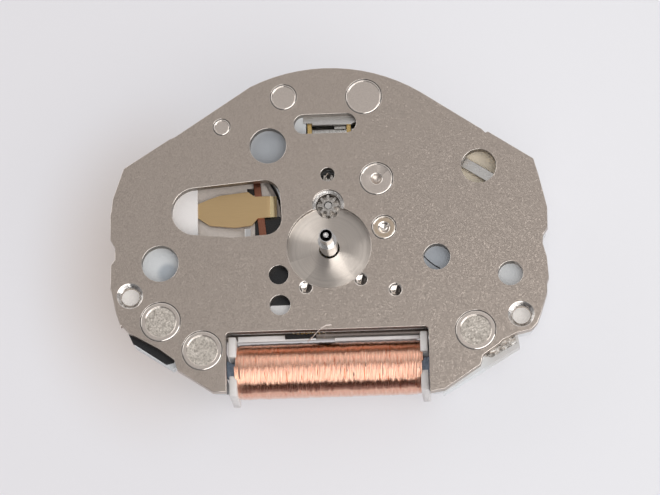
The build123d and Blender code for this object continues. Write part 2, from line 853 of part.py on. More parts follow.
def battery_leaf():
    """The brass leaf spring that shows in the window, bent down to the battery at its free end."""
    points = [(leaf_x + x * leaf_length / 2, leaf_y + y * leaf_width / 2) for x, y in leaf_share]
    top = battery_web_level
    leaf = slab(make_face(Polyline(*points, close=True)), top, top + leaf_thickness)
    right = max(point[0] for point in points)
    bend = leaf_bend_share * leaf_length / 2
    ends = [point[1] for point in points if point[0] == right]
    tab = Pos(right - bend / 2, sum(ends) / 2) * Rectangle(bend, max(ends) - min(ends))
    return leaf + slab(tab, top, battery_level)


def contact_strip():
    """The copper strip that crosses under the leaf."""
    top = battery_web_level + leaf_thickness
    start_x = leaf_x + leaf_length * strip_place_share
    lean = strip_width
    half_height = window_height / 2 + strip_width
    points = [
        (start_x, window_y + half_height), (start_x + strip_width, window_y + half_height),
        (start_x + strip_width + lean, window_y - half_height), (start_x + lean, window_y - half_height),
    ]
    return slab(make_face(Polyline(*points, close=True)), top, top + strip_thickness)


def contact_lug():
    """The bright tab that stands in from the window's lower edge."""
    edge = window_y - (window_height + overrun) / 2
    middle = -(battery_web_level - lug_thickness / 2 - end_shake)
    return Pos(lug_x, edge + lug_length / 2, middle) * Box(lug_width, lug_length, lug_thickness)


def battery_clamp():
    """The positive contact sheet over the battery's back."""
    ring = Pos(*battery_at) * Circle(battery_radius + battery_gap + frame_inset)
    sheet = polygon(clamp_arm_share) + ring
    sheet -= Pos(*battery_at) * Circle(battery_radius * (1 - 2 * cap_share) - battery_step)
    sheet &= plate_outline(frame_inset)
    clamp = slab(sheet, back_level, back_level + sheet_thickness)
    for place in (pillar_left_at, clamp_post_at):
        clamp -= disc(place, screw_radius, back_level - overrun, back_level + overrun)
    return clamp - disc(pin_post_at, pin_post_radius, back_level - overrun, back_level + overrun)


# Coil, stator and bridge


def core_sketch():
    length = winding_length + 2 * flange_thickness
    start = coil_x - length / 2
    core = Pos(coil_x, coil_y) * Rectangle(length, core_width)
    for place, end in ((pillar_coil_at, start), (pillar_right_at, start + length)):
        half = core_width / 2
        arm = make_face(
            Polyline(
                (end, coil_y - half), (end, coil_y + half), (place[0], place[1] + half),
                (place[0], place[1] - half), close=True,
            )
        )
        core += arm + Pos(*place) * Circle(ear_radius)
    return core


def coil_core():
    """The flat iron bar through the coil, with an eye at each end."""
    core = core_sketch()
    for place in (pillar_coil_at, pillar_right_at):
        core -= Pos(*place) * Circle(screw_radius)
    return slab(core, core_level, core_level + core_thickness)


def flange(x):
    """One translucent cheek of the bobbin: round below, square towards the plate's opening."""
    cheek = Cylinder(flange_radius, flange_thickness)
    round_part = Pos(x, coil_y, coil_z) * Rot(0, right_angle, 0) * cheek
    square = Pos(x, coil_y + flange_rise / 2, coil_z + flange_rise / 2) * Box(
        flange_thickness, flange_rise, flange_rise
    )
    return round_part + square


def coil_bobbin():
    """The sleeve on the core and its two cheeks."""
    height = core_thickness + 2 * sleeve_thickness
    width = core_width + 2 * sleeve_thickness
    sleeve = Pos(coil_x, coil_y, coil_z) * Box(winding_length, width, height)
    offset_x = (winding_length + flange_thickness) / 2
    bobbin = sleeve + flange(coil_x - offset_x) + flange(coil_x + offset_x)
    length = winding_length + 2 * flange_thickness + overrun
    return bobbin - Pos(coil_x, coil_y, coil_z) * Box(length, core_width, core_thickness)


def inner_winding():
    """The lower layers of the winding, as one plain body round the sleeve."""
    height = core_thickness + 2 * sleeve_thickness
    width = core_width + 2 * sleeve_thickness
    body = Rot(0, right_angle, 0) * Cylinder(inner_winding_radius, winding_length)
    return Pos(coil_x, coil_y, coil_z) * (body - Box(winding_length + overrun, width, height))


def helix_point(angle, radius, pitch, start):
    x = start + pitch * angle / (2 * pi)
    return Vector(x, coil_y + radius * cos(angle), coil_z + radius * sin(angle))


def helix_tangent(angle, radius, pitch):
    return Vector(pitch / (2 * pi), -radius * sin(angle), radius * cos(angle)).normalized()


def biarc(first, first_tangent, last, last_tangent):
    """Two arcs that leave one point and reach the next along the given tangents."""
    chord = last - first
    both = first_tangent + last_tangent
    spread = 2 * (1 - first_tangent.dot(last_tangent))
    along = chord.dot(both)
    reach = (sqrt(along**2 + spread * chord.dot(chord)) - along) / spread
    near = first + first_tangent * reach
    far = last - last_tangent * reach
    middle = (near + far) / 2
    return [
        TangentArc(first, middle, tangent=first_tangent),
        TangentArc(middle, last, tangent=far - near),
    ]


def least_turn_gap(radius, pitch):
    """The least clear distance from one turn's end to the turn before it."""
    last = helix_point(2 * pi, radius, pitch, 0)
    angles = [pi * step / (gap_samples - 1) for step in range(gap_samples)]
    least = min((helix_point(angle, radius, pitch, 0) - last).length for angle in angles)
    return least - 2 * wire_radius


def coil_winding():
    """The outer layer: one unbroken copper wire with straight ends, wound over the lower layers."""
    radius = inner_winding_radius + wire_seat_gap + wire_radius
    pitch = (winding_length - 2 * wire_margin) / wire_turns
    start = coil_x - winding_length / 2 + wire_margin
    arc_angle = 2 * pi / arcs_per_turn
    along = helix_tangent(0, radius, pitch)
    straight = along * 2 * wire_radius
    first = helix_point(0, radius, pitch, start)
    last = helix_point(2 * pi * wire_turns, radius, pitch, start)
    edges = [Line(first - straight, first)]
    for step in range(arcs_per_turn * wire_turns):
        low, high = step * arc_angle, (step + 1) * arc_angle
        edges += biarc(
            helix_point(low, radius, pitch, start), helix_tangent(low, radius, pitch),
            helix_point(high, radius, pitch, start), helix_tangent(high, radius, pitch),
        )
    edges.append(Line(last, last + straight))
    path = Wire([edge.edge() for edge in edges])
    section = Plane(origin=first - straight, z_dir=along)
    print(f"least gap between neighbouring turns {least_turn_gap(radius, pitch):.3f} mm")
    wire = sweep(section * Circle(wire_radius), path=path)
    true_volume = pi * wire_radius**2 * path.length
    print(f"wire volume over section times length {wire.volume / true_volume:.4f}")
    return wire


def stator():
    """The soft iron plate round the rotor, from one end of the coil to the other."""
    sheet = polygon(stator_share) + Pos(*rotor_at) * Circle(stator_hole_radius + stator_wall)
    for place in (pillar_coil_at, pillar_right_at):
        sheet += Pos(*place) * Circle(ear_radius)
        sheet -= Pos(*place) * Circle(screw_radius)
    sheet -= Pos(*rotor_at) * Circle(stator_hole_radius)
    for sign in (1, -1):
        notch = polar(rotor_at, sign * stator_hole_radius, stator_notch_angle)
        sheet -= Pos(*notch) * Circle(stator_notch_radius)
    return slab(sheet, stator_level, stator_level + stator_thickness)


def train_bridge():
    """The steel bridge that holds the lower pivots."""
    sheet = polygon(bridge_share)
    for place in (pillar_coil_at, pillar_right_at, bridge_post_at):
        sheet -= Pos(*place) * Circle(screw_radius)
    for place in (hands, third_at, fifth_at, rotor_at):
        sheet -= Pos(*place) * Circle(pivot_radius + pivot_clearance)
    return slab(sheet, bridge_level, bridge_level + bridge_thickness)


def screw(place, head_level, reach):
    """A slotted screw put in from the back."""
    head = disc(place, screw_head_radius, head_level, head_level + screw_head_height)
    slot_level = head_level + screw_head_height - screw_slot_depth
    slot = Pos(place[0], place[1], -(slot_level + screw_slot_depth / 2)) * Box(
        2 * screw_head_radius + overrun, screw_slot_width, screw_slot_depth
    )
    return head - slot + disc(place, screw_radius, head_level - reach, head_level)


def bridge_screws():
    head = bridge_level + bridge_thickness
    deep = head - core_level + screw_grip
    shallow = bridge_thickness + screw_grip
    places = [(pillar_coil_at, deep), (pillar_right_at, deep), (bridge_post_at, shallow)]
    return Compound(children=[screw(place, head, reach) for place, reach in places])


def back_screws():
    head = back_level + sheet_thickness
    reach = sheet_thickness + screw_grip
    places = [pillar_left_at, clamp_post_at, cover_post_at, boss_at]
    return Compound(children=[screw(place, head, reach) for place in places])


# Circuit


def circuit_board():
    return slab(polygon(board_share), board_level, board_level + board_thickness)


def circuit_chip():
    """The chip under its drop of black resin."""
    level = board_level + board_thickness
    chip_x, chip_y = at(chip_share)
    drop = Pos(chip_x, chip_y, -(level + chip_thickness / 2)) * Box(chip_size, chip_size, chip_thickness)
    edges = drop.edges().group_by(Axis.Z)[0] + drop.edges().filter_by(Axis.Z)
    return fillet(edges, chip_round)


def quartz_crystal():
    """The quartz in its round can, lying under the slot."""
    can = Cylinder(crystal_radius, crystal_length)
    can = fillet(can.edges().group_by(Axis.Z)[-1], crystal_radius * cap_share)
    return Pos(crystal_x, crystal_y, -crystal_level) * Rot(0, right_angle, 0) * can


def crystal_clip():
    """The steel strip over the crystal, just under the slot of the plate."""
    return slab(polygon(clip_share), plate_thickness, plate_thickness + clip_thickness)


def crystal_leads():
    """The two small brass contacts under the clip."""
    top = plate_thickness + clip_thickness
    leads = []
    for share in clip_leads_share:
        x, y = at(share)
        strip = Pos(x, y + lead_reach - lead_length / 2) * Rectangle(lead_width, lead_length)
        leads.append(slab(strip, top, top + lead_thickness))
    return Compound(children=leads)


def circuit_cover():
    """The steel sheet over the circuit's back."""
    sheet = polygon(cover_share) & plate_outline(frame_inset)
    cover = slab(sheet, back_level, back_level + sheet_thickness)
    for place in (cover_post_at, boss_at):
        cover -= disc(place, screw_radius, back_level - overrun, back_level + overrun)
    return cover


# Keyless works


def sliding_pinion():
    """The pinion that slides along the stem, with end teeth and a groove for the yoke."""
    body = Cylinder(sliding_pinion_radius, sliding_pinion_length)
    neck_z = -sliding_pinion_length / 2 + groove_start + groove_width / 2
    groove = Cylinder(sliding_pinion_radius + overrun, groove_width)
    groove -= Cylinder(groove_radius, groove_width)
    body -= Pos(0, 0, neck_z) * groove
    body -= Cylinder(sliding_pinion_bore, sliding_pinion_length + overrun)
    gap = pi * sliding_pinion_radius / sliding_teeth / 2
    cut = Box(2 * sliding_pinion_radius + overrun, gap, sliding_tooth_depth)
    floor_z = -sliding_pinion_length / 2 + sliding_tooth_depth / 2
    for tooth in range(sliding_teeth // 2):
        body -= Pos(0, 0, floor_z) * Rot(0, 0, tooth * full_turn / sliding_teeth) * cut
    middle = sliding_pinion_x + sliding_pinion_length / 2
    return Pos(middle, 0, -stem_level) * Rot(0, right_angle, 0) * body


def bar(first, last, first_width, last_width):
    """A flat arm with round ends between two places."""
    length = hypot(last[0] - first[0], last[1] - first[1])
    across = ((last[1] - first[1]) / length / 2, -(last[0] - first[0]) / length / 2)
    corners = [
        (place[0] + side * width * across[0], place[1] + side * width * across[1])
        for place, width, side in (
            (first, first_width, 1), (first, first_width, -1),
            (last, last_width, -1), (last, last_width, 1),
        )
    ]
    ends = Pos(*first) * Circle(first_width / 2) + Pos(*last) * Circle(last_width / 2)
    return make_face(Polyline(*corners, close=True)) + ends


def setting_lever():
    """The lever that holds the stem. Its tail shows in the upper right hole."""
    arm = bar(lever_pivot, lever_nose, 2 * lever_width, lever_width)
    arm += bar(lever_pivot, lever_elbow, 2 * lever_width, lever_width)
    arm += bar(lever_elbow, lever_tail, lever_width, lever_width)
    arm -= Pos(*lever_pivot) * Circle(lever_pin_radius + lever_pin_clearance)
    return slab(arm, lever_level, lever_level + lever_thickness)


def yoke():
    """The fork that moves the sliding pinion. Its tip rides in the pinion's groove."""
    tip = (sliding_pinion_x + groove_start + groove_width / 2, -stem_bore_radius / 2)
    knee = (tip[0], sliding_pinion_radius + wheel_room)
    arm = bar(yoke_pivot, yoke_heel, 2 * yoke_width, yoke_width)
    arm += bar(yoke_heel, knee, yoke_width, yoke_tip_width)
    arm += bar(knee, tip, yoke_tip_width, yoke_tip_width)
    arm -= Pos(*yoke_pivot) * Circle(lever_pin_radius + lever_pin_clearance)
    return slab(arm, lever_level, lever_level + yoke_thickness)


def lever_pins():
    """The two pins that the lever and the yoke turn on."""
    return Compound(
        children=[
            disc(place, lever_pin_radius, plate_thickness, key_floor_level)
            for place in (lever_pivot, yoke_pivot)
        ]
    )


pieces = {
    "main_plate": main_plate,
    "plastic_frame": plastic_frame,
    "screw_pillars": screw_pillars,
    "cover_post": cover_post,
    "clamp_post": clamp_post,
    "locating_pin": locating_pin,
    "bridge_post": bridge_post,
    "setting_stud": setting_stud,
    "black_spacer": black_spacer,
    "solder_pad": solder_pad,
    "battery": battery,
    "battery_leaf": battery_leaf,
    "contact_strip": contact_strip,
    "contact_lug": contact_lug,
    "battery_clamp": battery_clamp,
    "coil_core": coil_core,
    "coil_bobbin": coil_bobbin,
    "inner_winding": inner_winding,
    "coil_winding": coil_winding,
    "stator": stator,
    "train_bridge": train_bridge,
    "bridge_screws": bridge_screws,
    "back_screws": back_screws,
    "circuit_board": circuit_board,
    "circuit_chip": circuit_chip,
    "quartz_crystal": quartz_crystal,
    "crystal_clip": crystal_clip,
    "crystal_leads": crystal_leads,
    "circuit_cover": circuit_cover,
    "rotor_magnet": rotor_magnet,
    "rotor_pinion": rotor_pinion,
    "fifth_wheel": fifth_wheel,
    "fifth_pinion": fifth_pinion,
    "seconds_wheel": seconds_wheel,
    "seconds_arbor": seconds_arbor,
    "third_wheel": third_wheel,
    "third_pinion": third_pinion,
    "centre_wheel": centre_wheel,
    "minute_pipe": minute_pipe,
    "minute_wheel": minute_wheel,
    "minute_pinion": minute_pinion,
    "setting_wheel": setting_wheel,
    "sliding_pinion": sliding_pinion,
    "setting_lever": setting_lever,
    "yoke": yoke,
    "lever_pins": lever_pins,
}

os.makedirs("parts", exist_ok=True)
for name, make in pieces.items():
    export_step(make(), f"parts/{name}.step")
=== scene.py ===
import json
from math import cos, pi, radians, sin

import bmesh
import bpy
from mathutils import Matrix, Vector, noise

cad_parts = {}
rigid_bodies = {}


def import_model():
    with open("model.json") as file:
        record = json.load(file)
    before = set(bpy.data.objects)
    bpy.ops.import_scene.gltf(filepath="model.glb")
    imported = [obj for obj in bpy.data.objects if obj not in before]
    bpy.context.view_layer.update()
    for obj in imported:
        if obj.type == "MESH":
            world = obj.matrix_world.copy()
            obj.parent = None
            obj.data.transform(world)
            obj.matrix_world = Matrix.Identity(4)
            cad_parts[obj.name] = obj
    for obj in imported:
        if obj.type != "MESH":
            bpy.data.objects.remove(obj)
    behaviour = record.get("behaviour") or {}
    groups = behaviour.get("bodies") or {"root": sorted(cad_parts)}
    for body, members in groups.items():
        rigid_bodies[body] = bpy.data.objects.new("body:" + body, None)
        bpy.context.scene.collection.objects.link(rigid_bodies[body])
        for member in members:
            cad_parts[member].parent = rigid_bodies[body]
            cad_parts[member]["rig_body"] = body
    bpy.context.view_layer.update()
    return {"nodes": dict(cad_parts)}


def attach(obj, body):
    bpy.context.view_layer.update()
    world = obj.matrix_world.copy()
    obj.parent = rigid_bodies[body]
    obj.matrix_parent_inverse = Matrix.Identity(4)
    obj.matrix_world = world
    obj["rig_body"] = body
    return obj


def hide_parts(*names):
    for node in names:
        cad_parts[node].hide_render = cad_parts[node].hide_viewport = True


bl_info = {
    "name": "Quartz watch movement",
    "version": (1, 0, 0),
    "blender": (4, 5, 0),
    "location": "View3D > Sidebar > Movement",
    "description": "Dresses the packed movement with blasted, turned, wound and moulded surfaces",
    "category": "Add Mesh",
}

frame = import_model()
nodes = frame["nodes"]

MM = 0.001
BODY = "movement"
# Points nearer than this are merged, in metres
MERGE = 1e-7

# Places and radii in millimetres, as in the solid model
HANDS = (0.0, 0.0)
SEAT_RADIUS = 1.70
MINUTE = (0.0, 1.770)
MINUTE_SINK_RADIUS = 0.60
OIL_SINKS = ((-0.960, -1.670), (1.279, -1.411), (2.668, -1.892))
OIL_SINK_RADIUS = 0.30
FEET = ((-8.126, -1.787), (7.725, -3.090))
FOOT_SINK_RADIUS = 0.56
# Every post that is pressed into the plate: its place and radius
POSTS = (
    ((-6.889, -2.912), 0.83), ((-5.207, -4.168), 0.83), ((5.874, -3.685), 0.83),
    ((1.540, 6.334), 0.75), ((-1.753, 6.431), 0.55), ((-4.308, 5.244), 0.36),
    ((1.994, 2.815), 0.69), ((2.258, 0.750), 0.51),
)
# Soft tints of the plastic where it shows past the plate: place, reach and colour. They are
# partly painted light and shade, darker in shaded holes and paler where light would come
# through the plastic, and partly stand for pockets and pieces behind it
PLASTIC_TINTS_AND_PAINTED_LIGHT = (
    ((-2.42, 4.37, -0.4), 1.2, "A2A5A9"), ((-6.60, -0.78, -0.4), 0.55, "AEB4BA"),
    ((6.17, 3.20, -0.7), 1.4, "FFF2DC"), ((4.38, -0.57, -0.4), 0.9, "A8ADB3"),
    ((-6.30, 1.80, -0.4), 1.9, "E6E1DE"), ((-0.1, -3.5, -1.0), 4.2, "F8F6F5"),
    ((7.2, -4.6, -0.8), 1.4, "C6C3C0"), ((-0.06, 2.93, -0.5), 0.7, "3A3634"),
    ((0.0, 1.77, -0.4), 0.5, "9A948E"),
)
# The winding's middle, half of its length, and its outer radius
COIL = (-0.135, -4.76, -1.525)
WINDING_HALF = 3.75
WINDING_RADIUS = 1.15
# Height of the paper that the back's screw heads stand on
FLOOR = -3.29

# The picture's angle in degrees: how far the plate leans from the line of sight, to which side
# of upright, and its turn in the picture. The centre tube's slant in the photo gives the side.
# It gives the lean only together with the tube's height, so the lean is partly guessed
LEAN, LEAN_SIDE, TURN = 16.0, 14.2, 2.0
# The photo's width in pixels, how many of them make a millimetre at the hands' axis, and how
# many the axis lies left of and above the picture's middle
PHOTO_WIDTH, SCALE, AXIS_LEFT, AXIS_UP = 660, 24.63, 1.2, 0.75


# Helpers


def linear(code):
    """Linear RGBA of an sRGB hex colour."""
    shares = [int(code[start : start + 2], 16) / 255 for start in (0, 2, 4)]
    return (*[s / 12.92 if s <= 0.04045 else ((s + 0.055) / 1.055) ** 2.4 for s in shares], 1.0)


def darker(colour, share):
    """A colour with its light cut to a share."""
    return tuple(share * part for part in colour[:3]) + (1.0,)


def add_node(tree, kind, settings=None, inputs=None):
    """A shader node with its settings, and with its inputs set or linked."""
    node = tree.nodes.new(kind)
    for key, value in (settings or {}).items():
        setattr(node, key, value)
    for key, value in (inputs or {}).items():
        if isinstance(value, bpy.types.NodeSocket):
            tree.links.new(value, node.inputs[key])
        else:
            node.inputs[key].default_value = value
    return node


def new_tree(name):
    """A new material and its empty node tree."""
    material = bpy.data.materials.new(name)
    material.use_nodes = True
    material.node_tree.nodes.clear()
    return material, material.node_tree


def finish(name, base, shade, metallic, rough, grain, bump, stretch=(1, 1, 1), **shader):
    """A material from one grain in Object coordinates.

    The colour moves between base and shade and the roughness between its two values.
    Grain is the grain's real size and bump its real depth, both in millimetres.
    """
    if name in bpy.data.materials:
        return bpy.data.materials[name]
    material, tree = new_tree(name)
    where = add_node(tree, "ShaderNodeTexCoord")
    scale = [1 / (grain * MM * share) for share in stretch]
    placed = add_node(
        tree, "ShaderNodeMapping", None, {"Vector": where.outputs["Object"], "Scale": scale}
    )
    speck = add_node(
        tree, "ShaderNodeTexNoise", None,
        {"Vector": placed.outputs[0], "Scale": 1.0, "Detail": 4.0, "Roughness": 0.6},
    )
    # The noise seldom leaves this range, so the two colours are both reached
    share = add_node(
        tree, "ShaderNodeMapRange", None,
        {"Value": speck.outputs[0], "From Min": 0.32, "From Max": 0.68},
    )
    colour = add_node(
        tree, "ShaderNodeMix", {"data_type": "RGBA"}, {0: share.outputs[0], 6: base, 7: shade}
    )
    roughness = add_node(
        tree, "ShaderNodeMapRange", None,
        {"Value": share.outputs[0], "To Min": rough[0], "To Max": rough[1]},
    )
    relief = add_node(
        tree, "ShaderNodeBump", None,
        {"Strength": 1.0, "Distance": bump * MM, "Height": speck.outputs[0]},
    )
    surface = add_node(
        tree, "ShaderNodeBsdfPrincipled", None,
        {
            "Base Color": colour.outputs[2], "Metallic": metallic,
            "Roughness": roughness.outputs[0], "Normal": relief.outputs[0], **shader,
        },
    )
    add_node(tree, "ShaderNodeOutputMaterial", None, {"Surface": surface.outputs[0]})
    return material


def turned_finish(name, base, pitch, depth, rough):
    """Bare metal cut on a lathe around the hands' axis.

    The rings are as far apart as the tool's feed. The stretched gloss gives the bright fans.
    """
    material, tree = new_tree(name)
    where = add_node(tree, "ShaderNodeTexCoord")
    flat = add_node(
        tree, "ShaderNodeVectorMath", {"operation": "MULTIPLY"},
        {0: where.outputs["Object"], 1: (1, 1, 0)},
    )
    reach = add_node(tree, "ShaderNodeVectorMath", {"operation": "LENGTH"}, {0: flat.outputs[0]})
    feed = add_node(
        tree, "ShaderNodeMath", {"operation": "DIVIDE"}, {0: reach.outputs["Value"], 1: pitch * MM}
    )
    rings = add_node(
        tree, "ShaderNodeTexNoise", {"noise_dimensions": "1D"},
        {"W": feed.outputs[0], "Scale": 1.0, "Detail": 3.0, "Roughness": 0.7},
    )
    outwards = add_node(tree, "ShaderNodeVectorMath", {"operation": "NORMALIZE"}, {0: flat.outputs[0]})
    relief = add_node(
        tree, "ShaderNodeBump", None,
        {"Strength": 1.0, "Distance": depth * MM, "Height": rings.outputs[0]},
    )
    tone = add_node(
        tree, "ShaderNodeMix", {"data_type": "RGBA"},
        {0: rings.outputs[0], 6: base, 7: darker(base, 0.8)},
    )
    surface = add_node(
        tree, "ShaderNodeBsdfPrincipled", None,
        {
            "Base Color": tone.outputs[2], "Metallic": 1.0, "Roughness": rough,
            "Anisotropic": 1.0, "Tangent": outwards.outputs[0], "Normal": relief.outputs[0],
        },
    )
    add_node(tree, "ShaderNodeOutputMaterial", None, {"Surface": surface.outputs[0]})
    return material


def put(mesh, name, finishes, body=BODY, sharp=30):
    """Makes a bmesh an object that rides on a body."""
    bmesh.ops.remove_doubles(mesh, verts=mesh.verts, dist=MERGE)
    bmesh.ops.recalc_face_normals(mesh, faces=mesh.faces)
    data = bpy.data.meshes.new(name)
    mesh.to_mesh(data)
    mesh.free()
    for polygon in data.polygons:
        polygon.use_smooth = abs(polygon.normal.z) < 0.999
    data.set_sharp_from_angle(angle=radians(sharp))
    for material in finishes:
        data.materials.append(material)
    piece = bpy.data.objects.new(name, data)
    bpy.context.scene.collection.objects.link(piece)
    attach(piece, body)
    return piece


def dress(material, *names):
    """Gives solids of the frame their material."""
    for name in names:
        data = nodes[name].data
        data.materials.clear()
        data.materials.append(material)


def merged(node):
    """A bmesh of a solid with whole faces in place of its loose triangles."""
    mesh = bmesh.new()
    mesh.from_mesh(nodes[node].data)
    bmesh.ops.remove_doubles(mesh, verts=mesh.verts, dist=MERGE)
    bmesh.ops.dissolve_limit(mesh, angle_limit=radians(0.5), verts=mesh.verts, edges=mesh.edges)
    return mesh


def turned(mesh, place, profile, steps, start=0.0):
    """Adds a closed form turned from a profile of radius and height in millimetres."""
    centre = Vector((place[0], place[1], 0)) * MM
    out = Vector((cos(start), sin(start), 0))
    verts = [mesh.verts.new(centre + out * r * MM + Vector((0, 0, z * MM))) for r, z in profile]
    edges = [mesh.edges.new(pair) for pair in zip(verts, verts[1:] + verts[:1])]
    bmesh.ops.spin(
        mesh, geom=verts + edges, cent=centre, axis=(0, 0, 1), angle=2 * pi, steps=steps,
        use_merge=True,
    )


def block(mesh, low, high):
    """Adds a box between two corners in millimetres."""
    low, high = Vector(low) * MM, Vector(high) * MM
    place = Matrix.Translation((low + high) / 2) @ Matrix.Diagonal((*(high - low), 1))
    return bmesh.ops.create_cube(mesh, size=1, matrix=place)["verts"]


def soften(mesh, radius):
    """Breaks every edge of a mesh by a small radius in millimetres."""
    bmesh.ops.bevel(
        mesh, geom=mesh.edges, offset=radius * MM, segments=2, affect="EDGES", profile=0.5,
        material=-1,
    )


def rounded(node, width, finishes, choose=None, segments=2, polish=None, mesh=None):
    """A copy of a solid with its edges broken by a small radius. It stands for the solid.

    Where choose is given, it names the finish of each face by its middle and its normal.
    Where polish is given, the broken edges have that finish.
    """
    mesh = mesh or merged(node)
    for face in mesh.faces:
        face.material_index = 0
        if choose:
            face.material_index = choose(face.calc_center_median() / MM, face.normal)
    piece = put(mesh, node + "_finished", finishes, nodes[node]["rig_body"])
    edges = piece.modifiers.new("broken edges", "BEVEL")
    edges.width = width * MM
    edges.segments = segments
    edges.limit_method = "ANGLE"
    edges.angle_limit = radians(40)
    if polish:
        piece.data.materials.append(polish)
        edges.material = len(piece.data.materials) - 1
    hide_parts(node)
    return piece


def near(point, place, reach):
    """Whether a point lies within reach of a place, seen from above."""
    return (point.xy - Vector(place)).length < reach


def thread(mesh, points, radius):
    """Adds a fine round wire with closed ends through points in millimetres."""
    ring = bmesh.ops.create_circle(
        mesh, cap_ends=False, radius=radius * MM, segments=6,
        matrix=Matrix.Translation(Vector(points[0]) * MM) @ Matrix.Rotation(pi / 2, 4, "Y"),
    )["verts"]
    edges = list({edge for vert in ring for edge in vert.link_edges})
    ends = [edges]
    for here, after in zip(points, points[1:]):
        grown = bmesh.ops.extrude_edge_only(mesh, edges=edges)["geom"]
        verts = [item for item in grown if isinstance(item, bmesh.types.BMVert)]
        edges = [item for item in grown if isinstance(item, bmesh.types.BMEdge)]
        edges = [edge for edge in edges if all(vert in verts for vert in edge.verts)]
        bmesh.ops.translate(mesh, verts=verts, vec=(Vector(after) - Vector(here)) * MM)
    ends.append(edges)
    for rim in ends:
        bmesh.ops.contextual_create(mesh, geom=rim)


# Sizes and colours


class MovementColours(bpy.types.PropertyGroup):
    nickel: bpy.props.FloatVectorProperty(
        name="Nickel", description="Blasted nickel plating of the plate and posts",
        default=linear("C2B5AA"), size=4, subtype="COLOR", min=0, max=1,
    )
    copper: bpy.props.FloatVectorProperty(
        name="Copper wire", description="Enamelled copper wire of the coil",
        default=linear("FBCEB2"), size=4, subtype="COLOR", min=0, max=1,
    )
    leaf_brass: bpy.props.FloatVectorProperty(
        name="Contact brass", description="Satin brass of the battery's contact leaf",
        default=linear("D0B285"), size=4, subtype="COLOR", min=0, max=1,
    )
    wheel_brass: bpy.props.FloatVectorProperty(
        name="Wheel brass", description="Bright brass of the wheels",
        default=linear("EFD08C"), size=4, subtype="COLOR", min=0, max=1,
    )
    steel: bpy.props.FloatVectorProperty(
        name="Steel", description="Polished and rolled steel",
        default=linear("D9D6D2"), size=4, subtype="COLOR", min=0, max=1,
    )
    plastic: bpy.props.FloatVectorProperty(
        name="White plastic", description="Moulded frame under the plate",
        default=linear("D8DADB"), size=4, subtype="COLOR", min=0, max=1,
    )
    board: bpy.props.FloatVectorProperty(
        name="Circuit board", description="Coated board of the circuit",
        default=linear("2E5B3A"), size=4, subtype="COLOR", min=0, max=1,
    )


class MovementSizes(bpy.types.PropertyGroup):
    edge: bpy.props.FloatProperty(
        name="Edge", description="Radius that breaks the edges of metal pieces, in millimetres",
        default=0.02, min=0.005, max=0.05, precision=3,
    )
    plate_edge: bpy.props.FloatProperty(
        name="Plate edge", description="Radius of the plate's broken edges, in millimetres",
        default=0.05, min=0.005, max=0.08, precision=3,
    )
    blast_grain: bpy.props.FloatProperty(
        name="Blasting grain", description="Size of one mark of the blasting, in millimetres",
        default=0.036, min=0.02, max=0.2, precision=3,
    )
    turning_pitch: bpy.props.FloatProperty(
        name="Turning pitch", description="Distance between lathe rings, in millimetres",
        default=0.10, min=0.01, max=0.2, precision=3,
    )
    turns: bpy.props.IntProperty(
        name="Turns", description="Turns of wire that show on the coil",
        default=150, min=20, max=180,
    )
    wire_radius: bpy.props.FloatProperty(
        name="Wire radius", description="Radius of the wire as it shows, in millimetres",
        default=0.030, min=0.01, max=0.1, precision=3,
    )


def nickel():
    """Brass plate, bead blasted and nickel plated. Warm grey and matte, with fine bright grains.

    Each cell is one mark of the blasting, tilted its own way, so some of them sparkle. The
    marks are drawn about a pixel wide, coarser than real ones, because those wouldn't show.
    """
    if "blasted_nickel" in bpy.data.materials:
        return bpy.data.materials["blasted_nickel"]
    look, size = bpy.context.scene.movement_colours, bpy.context.scene.movement_sizes
    base = tuple(look.nickel)
    # How far the marks lean, and the size of the plating's soft clouds in millimetres
    tilt, cloud_size = 0.15, 0.9
    material, tree = new_tree("blasted_nickel")
    where = add_node(tree, "ShaderNodeTexCoord")
    marks = add_node(
        tree, "ShaderNodeTexVoronoi", None,
        {"Vector": where.outputs["Object"], "Scale": 1 / (size.blast_grain * MM)},
    )
    off = add_node(
        tree, "ShaderNodeVectorMath", {"operation": "SUBTRACT"},
        {0: marks.outputs["Color"], 1: (0.5, 0.5, 0.5)},
    )
    lean = add_node(
        tree, "ShaderNodeVectorMath", {"operation": "SCALE"}, {0: off.outputs[0], "Scale": tilt}
    )
    shape = add_node(tree, "ShaderNodeNewGeometry")
    tilted = add_node(
        tree, "ShaderNodeVectorMath", {"operation": "ADD"},
        {0: shape.outputs["True Normal"], 1: lean.outputs[0]},
    )
    normal = add_node(
        tree, "ShaderNodeVectorMath", {"operation": "NORMALIZE"}, {0: tilted.outputs[0]}
    )
    cloud = add_node(
        tree, "ShaderNodeTexNoise", None,
        {"Vector": where.outputs["Object"], "Scale": 1 / (cloud_size * MM), "Detail": 5.0},
    )
    tone = add_node(
        tree, "ShaderNodeMix", {"data_type": "RGBA"},
        {0: cloud.outputs[0], 6: base, 7: darker(base, 0.88)},
    )
    gloss = add_node(
        tree, "ShaderNodeMapRange", None,
        {
            "Value": cloud.outputs[0], "From Min": 0.3, "From Max": 0.7,
            "To Min": 0.275, "To Max": 0.32,
        },
    )
    surface = add_node(
        tree, "ShaderNodeBsdfPrincipled", None,
        {
            "Base Color": tone.outputs[2], "Metallic": 1.0, "Roughness": gloss.outputs[0],
            "Normal": normal.outputs[0],
        },
    )
    add_node(tree, "ShaderNodeOutputMaterial", None, {"Surface": surface.outputs[0]})
    return material


def burnished():
    """Nickel plating burnished by the punch. Mirror bright on every broken edge."""
    return finish(
        "burnished_nickel", linear("F4ECE4"), linear("E0D7CE"), 1.0, (0.06, 0.13), 0.05, 0.001
    )


